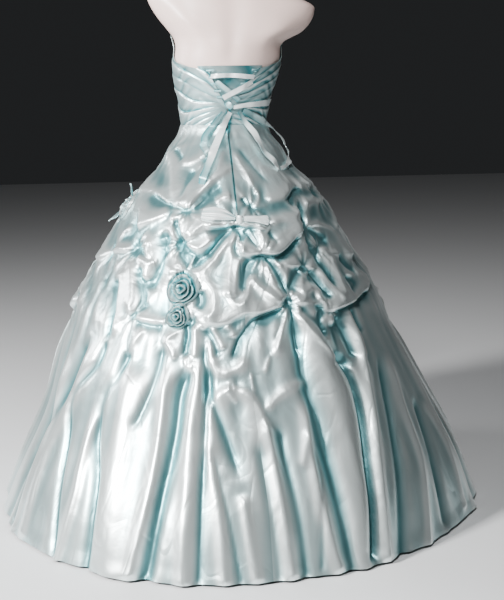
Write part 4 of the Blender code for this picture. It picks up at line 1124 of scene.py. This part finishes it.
def rose(name, azimuth, height, radius, stand, turn, cut):
    """A rose of rolled satin: rings of lapping petals with deep narrow gaps between, painted with a highlight
    on their rims and painted shade in the gaps.
    """
    t = np.radians(azimuth)
    outward = np.array([np.sin(t), -np.cos(t), 0.0])
    across = np.array([np.cos(t), np.sin(t), 0.0])
    piece, u, v = grid_piece(name + "_satin", 150, 90)
    angle, share = u * 2 * np.pi, 0.02 + 0.98 * (1 - v)
    outline = radius * (0.95 + 0.09 * np.abs(np.sin(1.5 * angle + turn)) + 0.03 * np.sin(2 * angle))
    rise, tone, inner = np.zeros(share.shape), np.zeros(share.shape), np.zeros(share.shape)
    for ring, rim in enumerate((0.26, 0.50, 0.76, 1.0)):
        lap = np.abs(np.sin(1.5 * angle + 1.1 + 2.3 * ring))
        edge = rim * (1 if rim == 1.0 else 0.86 + 0.20 * lap + 0.06 * np.sin(angle + 2 * ring))
        lip = np.clip((share - inner) / (edge - inner), 0, 1)
        here = (share >= inner) & (share <= edge)
        top = stand * (0.45 + 0.55 * (1 - rim)) * (0.85 + 0.15 * np.sin(1.5 * angle + ring) ** 2)
        rise = np.where(here, top * (0.40 + 0.60 * lip ** 1.3), rise)
        # Painted light: each petal ring is painted shade at its inner gap, rising to a painted highlight at its
        # rim
        tone = np.where(here, -0.12 + 0.85 * lip ** 2.2, tone)
        inner = edge
    rise = rise * (1 - smooth_step(0.955, 1.0, share))
    r = outline * share
    side, up = r * np.cos(angle), r * np.sin(angle)
    around = np.degrees(np.arcsin(np.clip(side[0] / ROSE_BED, -1, 1)))
    rim = [GOWN.reach(azimuth + a, height + h) for a, h in zip(around, up[0])]
    middle = float(np.mean(rim))
    level = middle + (np.array(rim)[None] - middle) * share ** 2
    points = outward * (level + 0.0008 + rise)[..., None] + across * side[..., None]
    points[..., 2] += height + up
    points[..., 0] += body_lean(height)
    finish_sheet(piece, points[:, ::-1], 0.0010, offset=1.0, fold=tone[:, ::-1])
    close_ring(piece, 0.00005)
    dress(piece, satin(), "satin", name)
    GOWN.add(piece)


class GOWN_PT_panel(bpy.types.Panel):
    bl_idname = "GOWN_PT_panel"
    bl_label = "Ball Gown"
    bl_space_type = "VIEW_3D"
    bl_region_type = "UI"
    bl_category = "Gown"

    def draw(self, context):
        layout = self.layout
        for group in (context.scene.gown_sizes, context.scene.gown_colours):
            for name in group.__annotations__:
                layout.prop(group, name)
        for operator in OPERATORS:
            layout.operator(operator.bl_idname)


OPERATORS = (GOWN_OT_stage, GOWN_OT_form, GOWN_OT_bodice, GOWN_OT_skirt, GOWN_OT_lacing, GOWN_OT_bow,
             GOWN_OT_roses)
CLASSES = (GownSizes, GownColours, *OPERATORS, GOWN_PT_panel)


def register():
    for item in CLASSES:
        bpy.utils.register_class(item)
    bpy.types.Scene.gown_sizes = PointerProperty(type=GownSizes)
    bpy.types.Scene.gown_colours = PointerProperty(type=GownColours)


def unregister():
    del bpy.types.Scene.gown_colours, bpy.types.Scene.gown_sizes
    for item in reversed(CLASSES):
        bpy.utils.unregister_class(item)


def main():
    register()
    bpy.ops.gown.stage()
    bpy.ops.gown.form()
    bpy.ops.gown.bodice()
    bpy.ops.gown.skirt()
    bpy.ops.gown.lacing()
    bpy.ops.gown.bow()
    bpy.ops.gown.roses()
    boxes = {"cad": CAD_BOX, "visual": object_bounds()}
    {key: [[float(c) for c in corner] for corner in box] for key, box in boxes.items()}


if __name__ == "__main__":
    main()
